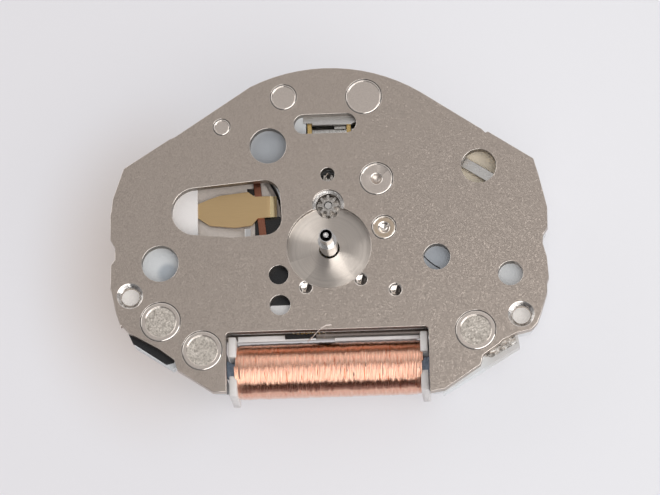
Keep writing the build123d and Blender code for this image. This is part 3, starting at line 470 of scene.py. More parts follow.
def steel(name="polished_steel"):
    """Hardened steel. Polished on arbors and screws, rolled with fine lines on sheets."""
    base = tuple(bpy.context.scene.movement_colours.steel)
    shade = darker(base, 0.85)
    if name == "rolled_steel":
        return finish(name, base, shade, 1.0, (0.24, 0.42), 0.03, 0.002, (40, 1, 1))
    return finish(name, base, shade, 1.0, (0.10, 0.22), 0.05, 0.0006)


def white_plastic():
    """Moulded polyacetal. Milky and slightly blue, with a soft gloss.

    Its tints by place are partly painted light and shade, and partly what lies behind it.
    """
    base = tuple(bpy.context.scene.movement_colours.plastic)
    material, tree = new_tree("moulded_polyacetal")
    where = add_node(tree, "ShaderNodeTexCoord")
    cloud = add_node(
        tree, "ShaderNodeTexNoise", None,
        {"Vector": where.outputs["Object"], "Scale": 1 / (0.5 * MM), "Detail": 3.0},
    )
    tone = add_node(
        tree, "ShaderNodeMix", {"data_type": "RGBA"},
        {0: cloud.outputs[0], 6: base, 7: darker(base, 0.93)},
    )
    # Each tint is partly painted light or shade, and partly what lies behind the plastic
    for place, reach, code in PLASTIC_TINTS_AND_PAINTED_LIGHT:
        gap = add_node(
            tree, "ShaderNodeVectorMath", {"operation": "DISTANCE"},
            {0: where.outputs["Object"], 1: Vector(place) * MM},
        )
        share = add_node(
            tree, "ShaderNodeMapRange", {"interpolation_type": "SMOOTHSTEP"},
            {
                "Value": gap.outputs["Value"], "From Min": 0.45 * reach * MM,
                "From Max": reach * MM, "To Min": 1.0, "To Max": 0.0,
            },
        )
        tone = add_node(
            tree, "ShaderNodeMix", {"data_type": "RGBA"},
            {0: share.outputs[0], 6: tone.outputs[2], 7: linear(code)},
        )
    relief = add_node(
        tree, "ShaderNodeBump", None, {"Distance": 0.001 * MM, "Height": cloud.outputs[0]}
    )
    surface = add_node(
        tree, "ShaderNodeBsdfPrincipled", None,
        {
            "Base Color": tone.outputs[2], "Roughness": 0.38, "IOR": 1.48,
            "Normal": relief.outputs[0],
        },
    )
    add_node(tree, "ShaderNodeOutputMaterial", None, {"Surface": surface.outputs[0]})
    return material


def copper_wire(base):
    """Enamelled copper wire: glossy and pale orange, streaked along the turns.

    Towards the upper edge the copper is painted first orange and then dark: painted reflection and
    shade.
    The coat is the enamel. Its IOR is above real enamel's 1.5, so that its gloss shows.
    """
    # Streaks in millimetres: their width over the turns, and their length along them
    wide, long = 0.05, 0.4
    material, tree = new_tree("enamelled_copper")
    where = add_node(tree, "ShaderNodeTexCoord")
    placed = add_node(
        tree, "ShaderNodeMapping", None,
        {"Vector": where.outputs["Object"], "Scale": [1 / (wide * MM), *[1 / (long * MM)] * 2]},
    )
    streak = add_node(
        tree, "ShaderNodeTexNoise", None, {"Vector": placed.outputs[0], "Scale": 1.0, "Detail": 3.0}
    )
    tone = add_node(
        tree, "ShaderNodeMix", {"data_type": "RGBA"},
        {0: streak.outputs[0], 6: base, 7: linear("E6A283")},
    )
    split = add_node(tree, "ShaderNodeSeparateXYZ", None, {0: where.outputs["Object"]})
    ragged = add_node(
        tree, "ShaderNodeMath", {"operation": "MULTIPLY_ADD"},
        {0: streak.outputs[0], 1: 0.16 * MM, 2: split.outputs[1]},
    )
    # Where along Y each band of painted reflection and shade begins and is full, in millimetres
    for start, end, code in ((-4.22, -4.12, "FFAC7C"), (-3.78, -3.70, "6A2C1E")):
        run = add_node(
            tree, "ShaderNodeMapRange", None,
            {"Value": ragged.outputs[0], "From Min": start * MM, "From Max": end * MM},
        )
        tone = add_node(
            tree, "ShaderNodeMix", {"data_type": "RGBA"},
            {0: run.outputs[0], 6: tone.outputs[2], 7: linear(code)},
        )
    surface = add_node(
        tree, "ShaderNodeBsdfPrincipled", None,
        {
            "Base Color": tone.outputs[2], "Metallic": 1.0, "Roughness": 0.17,
            "Coat Weight": 1.0, "Coat IOR": 2.0, "Coat Roughness": 0.10,
        },
    )
    add_node(tree, "ShaderNodeOutputMaterial", None, {"Surface": surface.outputs[0]})
    return material


# Pieces


class MOVEMENT_OT_plate(bpy.types.Operator):
    """Main plate with its turned seat and oil sinks"""

    bl_idname = "movement.plate"
    bl_label = "Main plate"

    def execute(self, context):
        look, size = context.scene.movement_colours, context.scene.movement_sizes
        # Lathe-turned nickel plating: rings and bright fans round the hands
        seat = turned_finish("turned_nickel", linear("E2D8CE"), size.turning_pitch, 0.0060, 0.33)
        # Countersinks cut bare: bright, with dull patches where the drill chattered
        sink = finish(
            "drilled_nickel", linear("F2EEEA"), linear("9E9893"), 1.0, (0.08, 0.22), 0.20, 0.03
        )
        # Walls that the punch tore: darker and duller than the blasted face
        wall = finish(
            "punched_nickel", linear("A0978F"), linear("6E6760"), 1.0, (0.36, 0.5), 0.06, 0.006
        )

        blasted, lathed, drilled, punched = range(4)

        def choose(middle, normal):
            # The holes' walls lie inside this ellipse, and nearly all of the outer edge outside
            # it. The coil bay's side walls cross it, so their lower ends stay blasted
            inside = (middle.x / 8.9) ** 2 + ((middle.y - 0.7) / 6.6) ** 2 < 0.78
            if abs(normal.z) < 0.2 and inside:
                return punched
            if near(middle, HANDS, SEAT_RADIUS) and middle.z < -0.2 and normal.z > 0.9:
                return lathed
            in_oil_sink = any(near(middle, place, OIL_SINK_RADIUS) for place in OIL_SINKS)
            if in_oil_sink and abs(normal.z) < 0.95:
                return drilled
            in_minute_sink = near(middle, MINUTE, MINUTE_SINK_RADIUS)
            if in_minute_sink and -0.2 < middle.z < -0.05 and normal.z > 0.9:
                return drilled
            in_foot_sink = any(near(middle, place, FOOT_SINK_RADIUS) for place in FEET)
            if in_foot_sink and 0.1 < abs(normal.z) < 0.9:
                return drilled
            return blasted

        finishes = [nickel(), seat, sink, wall]
        rounded("main_plate", size.plate_edge, finishes, choose, polish=burnished())

        # Bent wire spring, seen as a bright chevron through the hole above the minute wheel
        mesh = bmesh.new()
        thread(mesh, [(-0.17, 2.86, -0.42), (-0.10, 3.08, -0.37), (-0.01, 3.21, -0.34),
                      (0.07, 3.06, -0.37), (0.13, 2.86, -0.42)], 0.042)
        put(mesh, "wire_spring", [burnished()])

        # Seven facets that the drill leaves in each oil sink. Some of them flash
        mesh = bmesh.new()
        profile = ((0.205, -0.046), (0.03, -0.176), (0.035, -0.186), (0.215, -0.056))
        for count, place in enumerate(OIL_SINKS):
            known = len(mesh.faces)
            turned(mesh, place, profile, 7, 0.3 + 0.9 * count)
            mesh.faces.ensure_lookup_table()
            for face in mesh.faces[known:]:
                # Painted shade: the facets on one side of each sink are dark
                if face.calc_center_median().x > (place[0] + 0.03) * MM:
                    face.material_index = 1
        # Painted shade for that side of the sinks: dark nickel, smeared
        oil = finish(
            "sink_side_painted_shade", linear("6A6460"), linear("4A4643"), 1.0, (0.15, 0.3), 0.05, 0.002
        )
        put(mesh, "sink_facets", [burnished(), oil], sharp=10)
        return {"FINISHED"}


class MOVEMENT_OT_posts(bpy.types.Operator):
    """Pillars, posts, locating pin, the setting wheel's stud and the grooves round them"""

    bl_idname = "movement.posts"
    bl_label = "Posts and pillars"

    def execute(self, context):
        size = context.scene.movement_sizes
        # Nickel plating over a turned face: smoother than the blasted plate
        faced = finish(
            "faced_nickel", linear("CFC4BB"), linear("C2B7AE"), 1.0, (0.34, 0.44), 0.05, 0.002
        )
        # Pillar ends left coarse inside their rims: they sparkle in larger grains
        coarse = finish(
            "coarse_nickel", linear("E6DDD2"), linear("9A9289"), 1.0, (0.28, 0.5), 0.09, 0.030
        )
        # Tarnished bronze washer on the stud: tan between two bright rings
        tan = finish(
            "tarnished_bronze", linear("CDBBA6"), linear("BBA994"), 1.0, (0.3, 0.45), 0.05, 0.002
        )

        def sanded(middle, normal):
            return 1 if normal.z > 0.9 and -0.3 < middle.z < -0.02 else 0

        def washer(middle, normal):
            return 1 if normal.z > 0.9 else 0

        shine = burnished()
        rounded("screw_pillars", size.edge, [faced, coarse], sanded, polish=shine)
        rounded("setting_stud", size.edge, [shine, tan], washer, polish=shine)
        for node in ("cover_post", "clamp_post", "locating_pin", "bridge_post"):
            rounded(node, size.edge, [faced], polish=shine)

        # Painted shade in the groove round each pressed post: a dark line
        groove_shade = finish(
            "groove_painted_shade", linear("3A3430"), linear("241F1C"), 0.3, (0.4, 0.6), 0.05, 0.002
        )
        top, bottom = -0.004, -0.040
        mesh = bmesh.new()
        for place, radius in POSTS:
            inner, outer = radius - 0.021, radius + 0.033
            profile = ((inner, top), (inner, bottom), (outer, bottom), (outer, top))
            turned(mesh, place, profile, 64)
        put(mesh, "groove_lines", [groove_shade])
        return {"FINISHED"}


class MOVEMENT_OT_hand_arbors(bpy.types.Operator):
    """Minute pipe and seconds arbor"""

    bl_idname = "movement.hand_arbors"
    bl_label = "Hand arbors"

    def execute(self, context):
        size = context.scene.movement_sizes
        # Painted shade inside the pipe's mouth: steel nearly black
        dark = finish(
            "bore_painted_shade", linear("3A3836"), linear("1C1B1A"), 1.0, (0.35, 0.5), 0.05, 0.001
        )

        def mouth(middle, normal):
            inside_bore = 0.95 < middle.z < 1.70 and middle.xy.length < 0.26
            return 1 if inside_bore else 0

        rounded("minute_pipe", size.edge, [steel(), dark], mouth)
        rounded("seconds_arbor", 0.012, [steel()])
        return {"FINISHED"}


class MOVEMENT_OT_train(bpy.types.Operator):
    """Wheels, pinions, rotor, stator and bridge"""

    bl_idname = "movement.train"
    bl_label = "Train and motor"

    def execute(self, context):
        size = context.scene.movement_sizes
        look = context.scene.movement_colours
        base = tuple(look.wheel_brass)
        shade = darker(base, 0.85)
        # Stamped brass, tumbled: yellow, with a soft bright gloss
        brass = finish("tumbled_brass", base, shade, 1.0, (0.18, 0.32), 0.06, 0.002)
        # Sintered samarium cobalt: near black with fine grey grain
        magnet = finish(
            "sintered_magnet", linear("4A4745"), linear("2B2A29"), 0.7, (0.45, 0.6), 0.04, 0.004
        )
        # Annealed nickel iron: grey with a blue cast
        core = finish(
            "annealed_iron", linear("A9B4C4"), linear("8592A4"), 1.0, (0.32, 0.46), 0.06, 0.003
        )
        dress(
            brass, "fifth_wheel", "seconds_wheel", "third_wheel", "centre_wheel", "setting_wheel"
        )
        dress(steel(), "rotor_pinion", "fifth_pinion", "third_pinion")
        # Hardened steel left as cut: duller than the polished pinions
        cut = finish(
            "cut_steel", linear("D6D0C9"), linear("99938D"), 1.0, (0.22, 0.36), 0.07, 0.010
        )
        dress(cut, "minute_wheel", "minute_pinion")
        rounded("rotor_magnet", size.edge, [magnet])
        # The stator's sheet is tarnished: brown grey
        sheet = finish(
            "tarnished_iron", linear("B3A89E"), linear("8C8279"), 1.0, (0.32, 0.46), 0.06, 0.003
        )
        rounded("stator", size.edge, [sheet])
        rounded("coil_core", size.edge, [core])
        rounded("train_bridge", size.edge, [steel("rolled_steel")])
        rounded("bridge_screws", 0.015, [steel()])
        return {"FINISHED"}


class MOVEMENT_OT_coil(bpy.types.Operator):
    """Copper winding of many fine turns, and the bobbin that holds it"""

    bl_idname = "movement.coil"
    bl_label = "Coil"

    def execute(self, context):
        look, size = context.scene.movement_colours, context.scene.movement_sizes
        wire = copper_wire(tuple(look.copper))
        mesh = bmesh.new()
        centre = Vector(COIL) * MM
        per_turn = 40
        pitch = 2 * WINDING_HALF * MM / size.turns
        # The wire's middle lies its own radius inside the winding's, and a little more for swells
        outer = WINDING_RADIUS * MM - size.wire_radius * MM * 1.6
        start = centre + Vector((-WINDING_HALF * MM, 0, outer))
        ring = bmesh.ops.create_circle(
            mesh, cap_ends=False, radius=size.wire_radius * MM, segments=6,
            matrix=Matrix.Translation(start),
        )["verts"]
        bmesh.ops.rotate(mesh, verts=ring, cent=start, matrix=Matrix.Rotation(pi / 2, 3, "X"))
        edges = list({edge for vert in ring for edge in vert.link_edges})
        bmesh.ops.spin(
            mesh, geom=ring + edges, cent=centre, axis=(1, 0, 0), angle=2 * pi,
            dvec=(pitch / per_turn, 0, 0), steps=per_turn,
        )
        one_turn = bpy.data.meshes.new("one_turn")
        mesh.to_mesh(one_turn)
        mesh.clear()
        for turn in range(size.turns):
            mesh.from_mesh(one_turn)
            one_turn.transform(Matrix.Translation((pitch, 0, 0)))
        bpy.data.meshes.remove(one_turn)
        # The ends of the winding are round, as the last turns lie lower
        shoulder, round_over, end_drop = 3.40, 0.35, 0.05
        for vert in mesh.verts:
            arm = vert.co - centre
            along = arm.x / MM
            drift = noise.noise(Vector((along * 9.0, arm.y / MM * 2.0, arm.z / MM * 2.0)))
            fine = noise.noise(Vector((along * 31.0, arm.y / MM * 2.5, 7.0 + arm.z / MM * 2.5)))
            end = max(0.0, abs(along) - shoulder) / round_over
            swell = 1.00 - end_drop * end * end + 0.020 * drift + 0.012 * fine
            arm.y *= swell
            arm.z *= swell
            # The last turns bulge into the notch at the top of the flanges
            over = max(0.0, 1 - (arm.y / (0.8 * MM)) ** 2) if arm.z > 0 else 0.0
            bulge = 0.07 * MM * over * min(end, 1.0)
            arm.x += 0.02 * MM * drift + (bulge if along > 0 else -bulge)
            vert.co = centre + arm
        put(mesh, "fine_winding", [wire], sharp=80)
        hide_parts("coil_winding")

        # Layers of wire under the outer turns: the same copper, painted darker as painted shade in the
        # gaps
        under = finish(
            "inner_copper_painted_shade", linear("A85A3A"), linear("7A3A22"), 1.0, (0.35, 0.5), 0.05, 0.006
        )
        mesh = bmesh.new()
        place = Matrix.Translation(centre) @ Matrix.Rotation(pi / 2, 4, "Y")
        radius = 1.08 * MM
        bmesh.ops.create_cone(
            mesh, cap_ends=True, segments=96, radius1=radius, radius2=radius,
            depth=2 * (WINDING_HALF - 0.22) * MM, matrix=place,
        )
        piece = put(mesh, "under_winding", [under])
        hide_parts("inner_winding")

        # Fine ends of the wire, led over the bobbin to the circuit
        mesh = bmesh.new()
        long_end = (
            (-0.98, -3.76, -0.75), (-0.73, -3.62, -0.45), (-0.52, -3.48, -0.14),
            (-0.36, -3.40, 0.02), (-0.16, -3.30, 0.035), (0.05, -3.28, 0.02),
        )
        short_end = ((-0.29, -3.68, -0.55), (-0.20, -3.52, -0.24), (-0.12, -3.38, 0.01))
        thread(mesh, long_end, 0.032)
        thread(mesh, short_end, 0.020)
        # The wire's ends are painted pale: a painted highlight, with a glossy finish
        end_highlight = finish(
            "wire_end_painted_highlight", linear("E6DCD4"), linear("CDC0B6"), 0.0, (0.2, 0.3), 0.05, 0.001
        )
        put(mesh, "wire_ends", [end_highlight])

        # Translucent moulded nylon: pale, letting some light through at its thin flanges
        clear = finish(
            "moulded_nylon", linear("E9E5E2"), linear("E2DDDA"), 0.0, (0.28, 0.4), 0.15, 0.002,
            **{"IOR": 1.53, "Transmission Weight": 0.12},
        )
        mesh = bmesh.new()
        x, y, z = COIL
        # Each flange has a back cheek, a lower front cheek, and a web under the core's notch
        cheeks = ((0.36, 1.20, 1.18), (-1.20, -0.36, 0.96), (-0.40, 0.40, -0.24))
        foot = -1.16
        for side in (-1, 1):
            low, high = sorted(
                (x + side * (WINDING_HALF - 0.02), x + side * (WINDING_HALF + 0.29))
            )
            for front, back, top in cheeks:
                block(mesh, (low, y + front, z + foot), (high, y + back, z + top))
        soften(mesh, 0.05)
        flanges = put(mesh, "bobbin_flanges", [clear])
        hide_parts("coil_bobbin")
        return {"FINISHED"}


class MOVEMENT_OT_battery(bpy.types.Operator):
    """Battery and the contacts that show through the window"""

    bl_idname = "movement.battery"
    bl_label = "Battery and contacts"

    def execute(self, context):
        look, size = context.scene.movement_colours, context.scene.movement_sizes
        # Nickel-plated steel can under a matte lacquer: pale grey with little shadow
        can = finish(
            "lacquered_can", linear("E2D8CF"), linear("D8CEC5"), 0.45, (0.42, 0.50), 0.12, 0.0004
        )
        base = tuple(look.leaf_brass)
        shade = darker(base, 0.96)
        # Rolled spring brass: matte gold with fine lines along the strip
        leaf = finish(
            "rolled_brass", base, shade, 1.0, (0.30, 0.36), 0.04, 0.0004, (12, 1, 1)
        )
        # Rolled copper strip browned by air: a dull red brown
        copper = finish(
            "rolled_copper", linear("A87560"), linear("7A4A3A"), 1.0, (0.25, 0.4), 0.04, 0.003
        )
        rounded("battery", 0.06, [can], segments=3)
        # The leaf's free end bends down in a soft curve, which catches the light
        mesh = merged("battery_leaf")
        right = max(vert.co.x for vert in mesh.verts)
        curve, drop, lowest, cuts = 0.42 * MM, 0.075 * MM, -0.85 * MM, 8
        for cut in range(cuts):
            bmesh.ops.bisect_plane(
                mesh, geom=[*mesh.verts, *mesh.edges, *mesh.faces],
                plane_co=(right - curve * (1 - cut / cuts), 0, 0), plane_no=(1, 0, 0),
            )
        for vert in mesh.verts:
            share = max(0.0, 1 - (right - vert.co.x) / curve)
            vert.co.z = max(vert.co.z - drop * share * share, lowest)
        # The bend is burnished by the forming tool and smoother, and painted paler: a painted
        # highlight
        bright = finish(
            "brass_painted_highlight", linear("F6E2B4"), linear("EBD5A4"), 1.0, (0.16, 0.22), 0.04, 0.0003
        )

        def bend(middle, normal):
            bend_length = 0.27
            return 1 if middle.x > right / MM - bend_length else 0

        rounded("battery_leaf", 0.015, [leaf, bright], bend, mesh=mesh)
        rounded("contact_strip", 0.015, [copper])
        # Black sheets at the window's right end and at its top edge: painted shade, dark and smooth
        shade_sheet = finish(
            "black_painted_shade", linear("24211F"), linear("181615"), 0.0, (0.2, 0.3), 0.3, 0.001
        )
        mesh = bmesh.new()
        block(mesh, (-3.06, 0.50, -0.845), (-2.00, 1.58, -0.82))
        block(mesh, (-3.36, 2.52, -0.845), (-3.00, 2.80, -0.82))
        put(mesh, "painted_shade_sheet", [shade_sheet])
        rounded("contact_lug", size.edge, [steel()])
        rounded("battery_clamp", size.edge, [steel("rolled_steel")])
        return {"FINISHED"}


class MOVEMENT_OT_mouldings(bpy.types.Operator):
    """Plastic frame, black spacer and the rough solder"""

    bl_idname = "movement.mouldings"
    bl_label = "Mouldings and solder"

    def execute(self, context):
        size = context.scene.movement_sizes
        # Moulded black ABS: near black with a soft gloss
        black = finish(
            "moulded_black_abs", linear("1B1B1D"), linear("101012"), 0.0, (0.25, 0.42), 0.12, 0.003
        )
        # Tin solder left rough by the iron: bright grains with dark pits
        solder = finish(
            "rough_solder", linear("F0ECE6"), linear("6E6A66"), 1.0, (0.2, 0.5), 0.16, 0.09
        )
        rounded("plastic_frame", size.edge, [white_plastic()])
        rounded("black_spacer", 0.03, [black])
        # Ledges of the frame over the coil, seen past the plate's edge
        mesh = bmesh.new()
        block(mesh, (0.10, -3.70, -1.17), (3.57, -3.55, -1.05))
        block(mesh, (-3.84, -3.62, -1.17), (-0.66, -3.38, -1.05))
        soften(mesh, 0.03)
        # Thin plastic at the coil glows a little: painted light, standing for light from below coming
        # through it
        lit = finish(
            "polyacetal_painted_glow", linear("E6E3E2"), linear("DDDAD9"), 0.0, (0.35, 0.45), 0.4, 0.001,
            **{"Emission Color": linear("F0E6DE"), "Emission Strength": 0.14},
        )
        put(mesh, "bay_ledges", [lit])
        # Foot of the black spacer between the ledges, and a black rim in the hole at the right
        rim = (
            (3.78, -0.36, -0.44), (3.92, -0.52, -0.44), (4.08, -0.68, -0.44),
            (4.26, -0.83, -0.44), (4.48, -0.96, -0.44),
        )
        mesh = bmesh.new()
        block(mesh, (-1.89, -3.59, -0.89), (-0.62, -3.44, -0.74))
        thread(mesh, rim, 0.055)
        put(mesh, "spacer_foot", [black])
        # Floors of the dial foot holes: thin plastic that glows, painted light standing for light from
        # below coming through it
        web = finish(
            "polyacetal_painted_light", linear("F2EEEA"), linear("EAE6E2"), 0.0, (0.35, 0.45), 0.4, 0.001,
            **{"Emission Color": linear("E9E4DF"), "Emission Strength": 0.38},
        )
        radius, thickness, height = 0.55 * MM, 0.03 * MM, -0.875
        mesh = bmesh.new()
        for place in FEET:
            bmesh.ops.create_cone(
                mesh, cap_ends=True, segments=48, radius1=radius, radius2=radius,
                depth=thickness, matrix=Matrix.Translation(Vector((*place, height)) * MM),
            )
        put(mesh, "foot_hole_floors", [web])
        # Lumps that the iron leaves in the solder, mostly sunk below the plain solid's face
        lump_size, sunk, lump_height = 0.13, 0.35, 0.030
        mesh = bmesh.new()
        mesh.from_mesh(nodes["solder_pad"].data)
        bmesh.ops.remove_doubles(mesh, verts=mesh.verts, dist=MERGE)
        bmesh.ops.subdivide_edges(mesh, edges=mesh.edges, cuts=9, use_grid_fill=True)
        bmesh.ops.triangulate(mesh, faces=mesh.faces)
        for vert in mesh.verts:
            lump = noise.noise(vert.co / (lump_size * MM)) - sunk
            vert.co += vert.normal * lump * lump_height * MM
        piece = put(mesh, "solder_pad_finished", [solder])
        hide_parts("solder_pad")
        return {"FINISHED"}


class MOVEMENT_OT_setting_works(bpy.types.Operator):
    """Setting lever, yoke, their pins and the sliding pinion"""

    bl_idname = "movement.setting_works"
    bl_label = "Setting works"

    def execute(self, context):
        size = context.scene.movement_sizes
        for node in ("setting_lever", "yoke"):
            rounded(node, size.edge, [steel("rolled_steel")])
        rounded("lever_pins", size.edge, [steel()])
        rounded("sliding_pinion", 0.015, [steel()])
        return {"FINISHED"}


class MOVEMENT_OT_circuit(bpy.types.Operator):
    """Board, chip, crystal, clip, leads and the covers and screws of the back"""

    bl_idname = "movement.circuit"
    bl_label = "Circuit and back"

    def execute(self, context):
        look, size = context.scene.movement_colours, context.scene.movement_sizes
        base = tuple(look.board)
        shade = darker(base, 0.8)
        # Glass epoxy under green solder mask: dark, with a fine mottle and a clear gloss
        board = finish(
            "masked_glass_epoxy", base, shade, 0.0, (0.22, 0.34), 0.10, 0.004
        )
        # Moulded epoxy of the chip: black and dull
        chip = finish(
            "moulded_epoxy", linear("161616"), linear("0D0D0D"), 0.0, (0.4, 0.55), 0.05, 0.004
        )
        # Drawn nickel silver of the crystal's can: pale, smooth and softly bright
        can = finish(
            "drawn_nickel_silver", linear("D8D5D0"), linear("BAB6B0"), 1.0, (0.18, 0.3), 0.10, 0.002
        )
        # Gilt wire of the crystal's leads: yellow and softly bright
        gold = finish(
            "gilt_lead", linear("E8C98A"), linear("C9A765"), 1.0, (0.22, 0.34), 0.04, 0.002
        )
        rounded("circuit_board", size.edge, [board])
        rounded("circuit_chip", size.edge, [chip])
        rounded("quartz_crystal", 0.05, [can], segments=3)
        rounded("crystal_clip", size.edge, [steel("rolled_steel")])
        rounded("crystal_leads", 0.012, [gold])
        # End of the crystal's can, which shows pale in the top slot
        mesh = bmesh.new()
        block(mesh, (0.28, 5.18, -0.66), (0.74, 5.30, -0.60))
        put(mesh, "can_end", [can])
        rounded("circuit_cover", size.edge, [steel("rolled_steel")])
        rounded("back_screws", 0.015, [steel()])
        return {"FINISHED"}


def matte_paper():
    """Matte paper, pale and without gloss. Painted a little brighter to the right, nearer the window:
    painted light.
    """
    material, tree = new_tree("matte_paper")
    where = add_node(tree, "ShaderNodeTexCoord")
    split = add_node(tree, "ShaderNodeSeparateXYZ", None, {0: where.outputs["Object"]})
    across = add_node(
        tree, "ShaderNodeMapRange", {"interpolation_type": "SMOOTHSTEP"},
        {"Value": split.outputs[0], "From Min": -12 * MM, "From Max": 12 * MM},
    )
    tone = add_node(
        tree, "ShaderNodeMix", {"data_type": "RGBA"},
        {0: across.outputs[0], 6: linear("E3E1E4"), 7: linear("E8E7EA")},
    )
    # Painted darker and warmer on the left, as in the shade of the movement
    lee = add_node(
        tree, "ShaderNodeMapping", {"vector_type": "TEXTURE"},
        {
            "Vector": where.outputs["Object"], "Location": (-7.5 * MM, 0, 0),
            "Scale": (6.0 * MM, 8.5 * MM, 1),
        },
    )
    reach = add_node(tree, "ShaderNodeVectorMath", {"operation": "LENGTH"}, {0: lee.outputs[0]})
    shade = add_node(
        tree, "ShaderNodeMapRange", {"interpolation_type": "SMOOTHSTEP"},
        {"Value": reach.outputs["Value"], "From Min": 1.0, "From Max": 0.2},
    )
    tone = add_node(
        tree, "ShaderNodeMix", {"data_type": "RGBA"},
        {0: shade.outputs[0], 6: tone.outputs[2], 7: linear("D2C8C3")},
    )
    rays = add_node(tree, "ShaderNodeLightPath")
    # Painted reflection: a dark brown card in front, painted into the paper where only glossy rays see
    # it
    front = add_node(
        tree, "ShaderNodeMapRange", {"interpolation_type": "SMOOTHSTEP"},
        {"Value": split.outputs[1], "From Min": -10.5 * MM, "From Max": -12.0 * MM},
    )
    card = add_node(
        tree, "ShaderNodeMath", {"operation": "MULTIPLY"},
        {0: front.outputs[0], 1: rays.outputs["Is Glossy Ray"]},
    )
    tone = add_node(
        tree, "ShaderNodeMix", {"data_type": "RGBA"},
        {0: card.outputs[0], 6: tone.outputs[2], 7: linear("4E2A24")},
    )
    surface = add_node(
        tree, "ShaderNodeBsdfPrincipled", None,
        {"Base Color": tone.outputs[2], "Roughness": 0.9, "Specular IOR Level": 0.2},
    )
    # Seen by the camera or in gloss, six tenths of the paper is its own colour, unlit. The
    # rest is lit by the lamps and keeps the shadow
    glow = add_node(tree, "ShaderNodeEmission", None, {"Color": tone.outputs[2], "Strength": 1.0})
    seen = add_node(
        tree, "ShaderNodeMath", {"operation": "MAXIMUM"},
        {0: rays.outputs["Is Camera Ray"], 1: rays.outputs["Is Glossy Ray"]},
    )
    seen = add_node(
        tree, "ShaderNodeMath", {"operation": "MAXIMUM"},
        {0: seen.outputs[0], 1: rays.outputs["Is Transmission Ray"]},
    )
    share = add_node(tree, "ShaderNodeMath", {"operation": "MULTIPLY"}, {0: seen.outputs[0], 1: 0.6})
    paper = add_node(
        tree, "ShaderNodeMixShader", None,
        {0: share.outputs[0], 1: surface.outputs[0], 2: glow.outputs[0]},
    )
    add_node(tree, "ShaderNodeOutputMaterial", None, {"Surface": paper.outputs[0]})
    return material


def studio_sky():
    """Sky that is brighter to the back, and dark at the horizon in front, as by a dark card."""
    world = bpy.data.worlds.new("studio")
    world.use_nodes = True
    tree = world.node_tree
    tree.nodes.clear()
    where = add_node(tree, "ShaderNodeTexCoord")
    split = add_node(tree, "ShaderNodeSeparateXYZ", None, {0: where.outputs["Generated"]})
    front = add_node(
        tree, "ShaderNodeMapRange", {"interpolation_type": "SMOOTHSTEP"},
        {"Value": split.outputs[1], "From Min": -0.70, "From Max": -0.40},
    )
    low = add_node(
        tree, "ShaderNodeMapRange", {"interpolation_type": "SMOOTHSTEP"},
        {"Value": split.outputs[2], "From Min": 0.24, "From Max": 0.44},
    )
    open_sky = add_node(
        tree, "ShaderNodeMath", {"operation": "MAXIMUM"},
        {0: front.outputs[0], 1: low.outputs[0]},
    )
    back = add_node(
        tree, "ShaderNodeMapRange", {"interpolation_type": "SMOOTHSTEP"},
        {"Value": split.outputs[1], "From Min": 0.05, "From Max": 0.55},
    )
    upper = add_node(
        tree, "ShaderNodeMix", {"data_type": "RGBA"},
        {0: back.outputs[0], 6: (0.31, 0.31, 0.32, 1), 7: (0.72, 0.71, 0.71, 1)},
    )
    tone = add_node(
        tree, "ShaderNodeMix", {"data_type": "RGBA"},
        {0: open_sky.outputs[0], 6: (0.03, 0.026, 0.026, 1), 7: upper.outputs[2]},
    )
    light = add_node(tree, "ShaderNodeBackground", None, {"Color": tone.outputs[2]})
    add_node(tree, "ShaderNodeOutputWorld", None, {"Surface": light.outputs[0]})
    return world


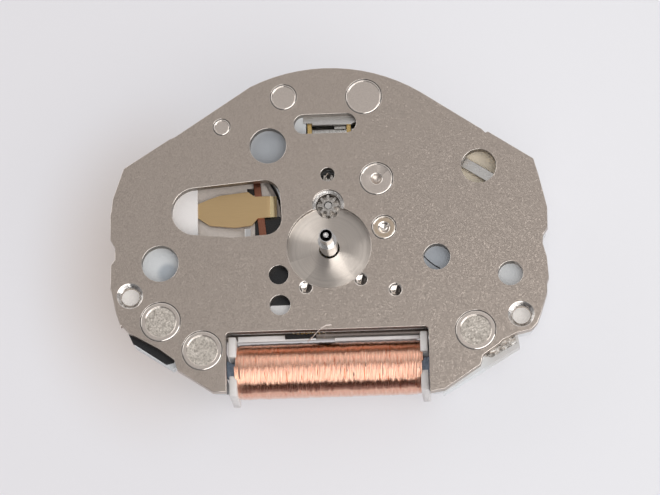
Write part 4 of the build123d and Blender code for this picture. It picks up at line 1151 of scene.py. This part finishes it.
class MOVEMENT_OT_stage(bpy.types.Operator):
    """Pale paper floor, sky, three soft lamps and camera"""

    bl_idname = "movement.stage"
    bl_label = "Floor, light and camera"

    def execute(self, context):
        scene = context.scene
        mesh = bmesh.new()
        bmesh.ops.create_grid(
            mesh, x_segments=1, y_segments=1, size=0.4,
            matrix=Matrix.Translation((0, 0, FLOOR * MM)),
        )
        data = bpy.data.meshes.new("paper")
        mesh.to_mesh(data)
        mesh.free()
        data.materials.append(matte_paper())
        floor = bpy.data.objects.new("paper", data)
        scene.collection.objects.link(floor)

        scene.world = studio_sky()

        # Each lamp's place in metres, power in watts, and two sides in metres.
        # Key: a flat softbox overhead, one corner near the zenith, so that its edges show as
        # sharp ends of the fans on the turned seat. Window and fill come from low down
        for name, spot, power, wide, long in (
            ("key", (0.235, -0.221, 0.200), 1.38, 0.52, 0.44),
            ("window", (0.220, -0.120, 0.090), 0.12, 0.16, 0.16),
            ("fill", (-0.200, 0.130, 0.110), 0.12, 0.20, 0.20),
        ):
            lamp = bpy.data.lights.new(name, "AREA")
            lamp.energy = power
            lamp.shape = "RECTANGLE"
            lamp.size = wide
            lamp.size_y = long
            body = bpy.data.objects.new(name, lamp)
            # The key lies level, and the others face the movement
            if name == "key":
                turn = Matrix.Rotation(radians(-8), 4, "Z")
            else:
                turn = Vector(spot).to_track_quat("Z", "Y").to_matrix().to_4x4()
            body.matrix_world = Matrix.Translation(spot) @ turn
            scene.collection.objects.link(body)

        optics = bpy.data.cameras.new("camera")
        optics.lens = 240
        optics.sensor_width = 36
        optics.clip_start = 0.01
        camera = bpy.data.objects.new("camera", optics)
        # The plate's up and right, as seen from the camera, turn it the other way round
        lean, side, turn = radians(LEAN), radians(LEAN_SIDE), radians(TURN)
        up = Vector((-sin(lean) * sin(side), sin(lean) * cos(side), cos(lean)))
        right = Vector((cos(turn), sin(turn), 0))
        right.z = -right.dot(up) / up.z
        right.normalize()
        seen = Matrix((right, up.cross(right), up))
        reach = optics.lens / optics.sensor_width * PHOTO_WIDTH
        axis = Vector((-AXIS_LEFT, AXIS_UP, -reach)) / SCALE * MM
        spot = seen @ -axis
        camera.matrix_world = Matrix.Translation(spot) @ seen.to_4x4()
        scene.collection.objects.link(camera)
        scene.camera = camera
        scene.view_settings.view_transform = "Standard"
        return {"FINISHED"}


STEPS = (
    MOVEMENT_OT_plate, MOVEMENT_OT_posts, MOVEMENT_OT_hand_arbors, MOVEMENT_OT_train,
    MOVEMENT_OT_coil, MOVEMENT_OT_battery, MOVEMENT_OT_mouldings, MOVEMENT_OT_setting_works,
    MOVEMENT_OT_circuit, MOVEMENT_OT_stage,
)


class MOVEMENT_PT_panel(bpy.types.Panel):
    bl_label = "Movement"
    bl_idname = "MOVEMENT_PT_panel"
    bl_space_type = "VIEW_3D"
    bl_region_type = "UI"
    bl_category = "Movement"

    def draw(self, context):
        for group in (context.scene.movement_colours, context.scene.movement_sizes):
            box = self.layout.box()
            for key in group.bl_rna.properties.keys():
                if key not in ("rna_type", "name"):
                    box.prop(group, key)
        for step in STEPS:
            self.layout.operator(step.bl_idname)


CLASSES = (MovementColours, MovementSizes, *STEPS, MOVEMENT_PT_panel)


def register():
    for item in CLASSES:
        bpy.utils.register_class(item)
    bpy.types.Scene.movement_colours = bpy.props.PointerProperty(type=MovementColours)
    bpy.types.Scene.movement_sizes = bpy.props.PointerProperty(type=MovementSizes)


def unregister():
    del bpy.types.Scene.movement_colours
    del bpy.types.Scene.movement_sizes
    for item in reversed(CLASSES):
        bpy.utils.unregister_class(item)


def main():
    register()
    bpy.ops.movement.plate()
    bpy.ops.movement.posts()
    bpy.ops.movement.hand_arbors()
    bpy.ops.movement.train()
    bpy.ops.movement.coil()
    bpy.ops.movement.battery()
    bpy.ops.movement.mouldings()
    bpy.ops.movement.setting_works()
    bpy.ops.movement.circuit()
    bpy.ops.movement.stage()


if __name__ == "__main__":
    main()
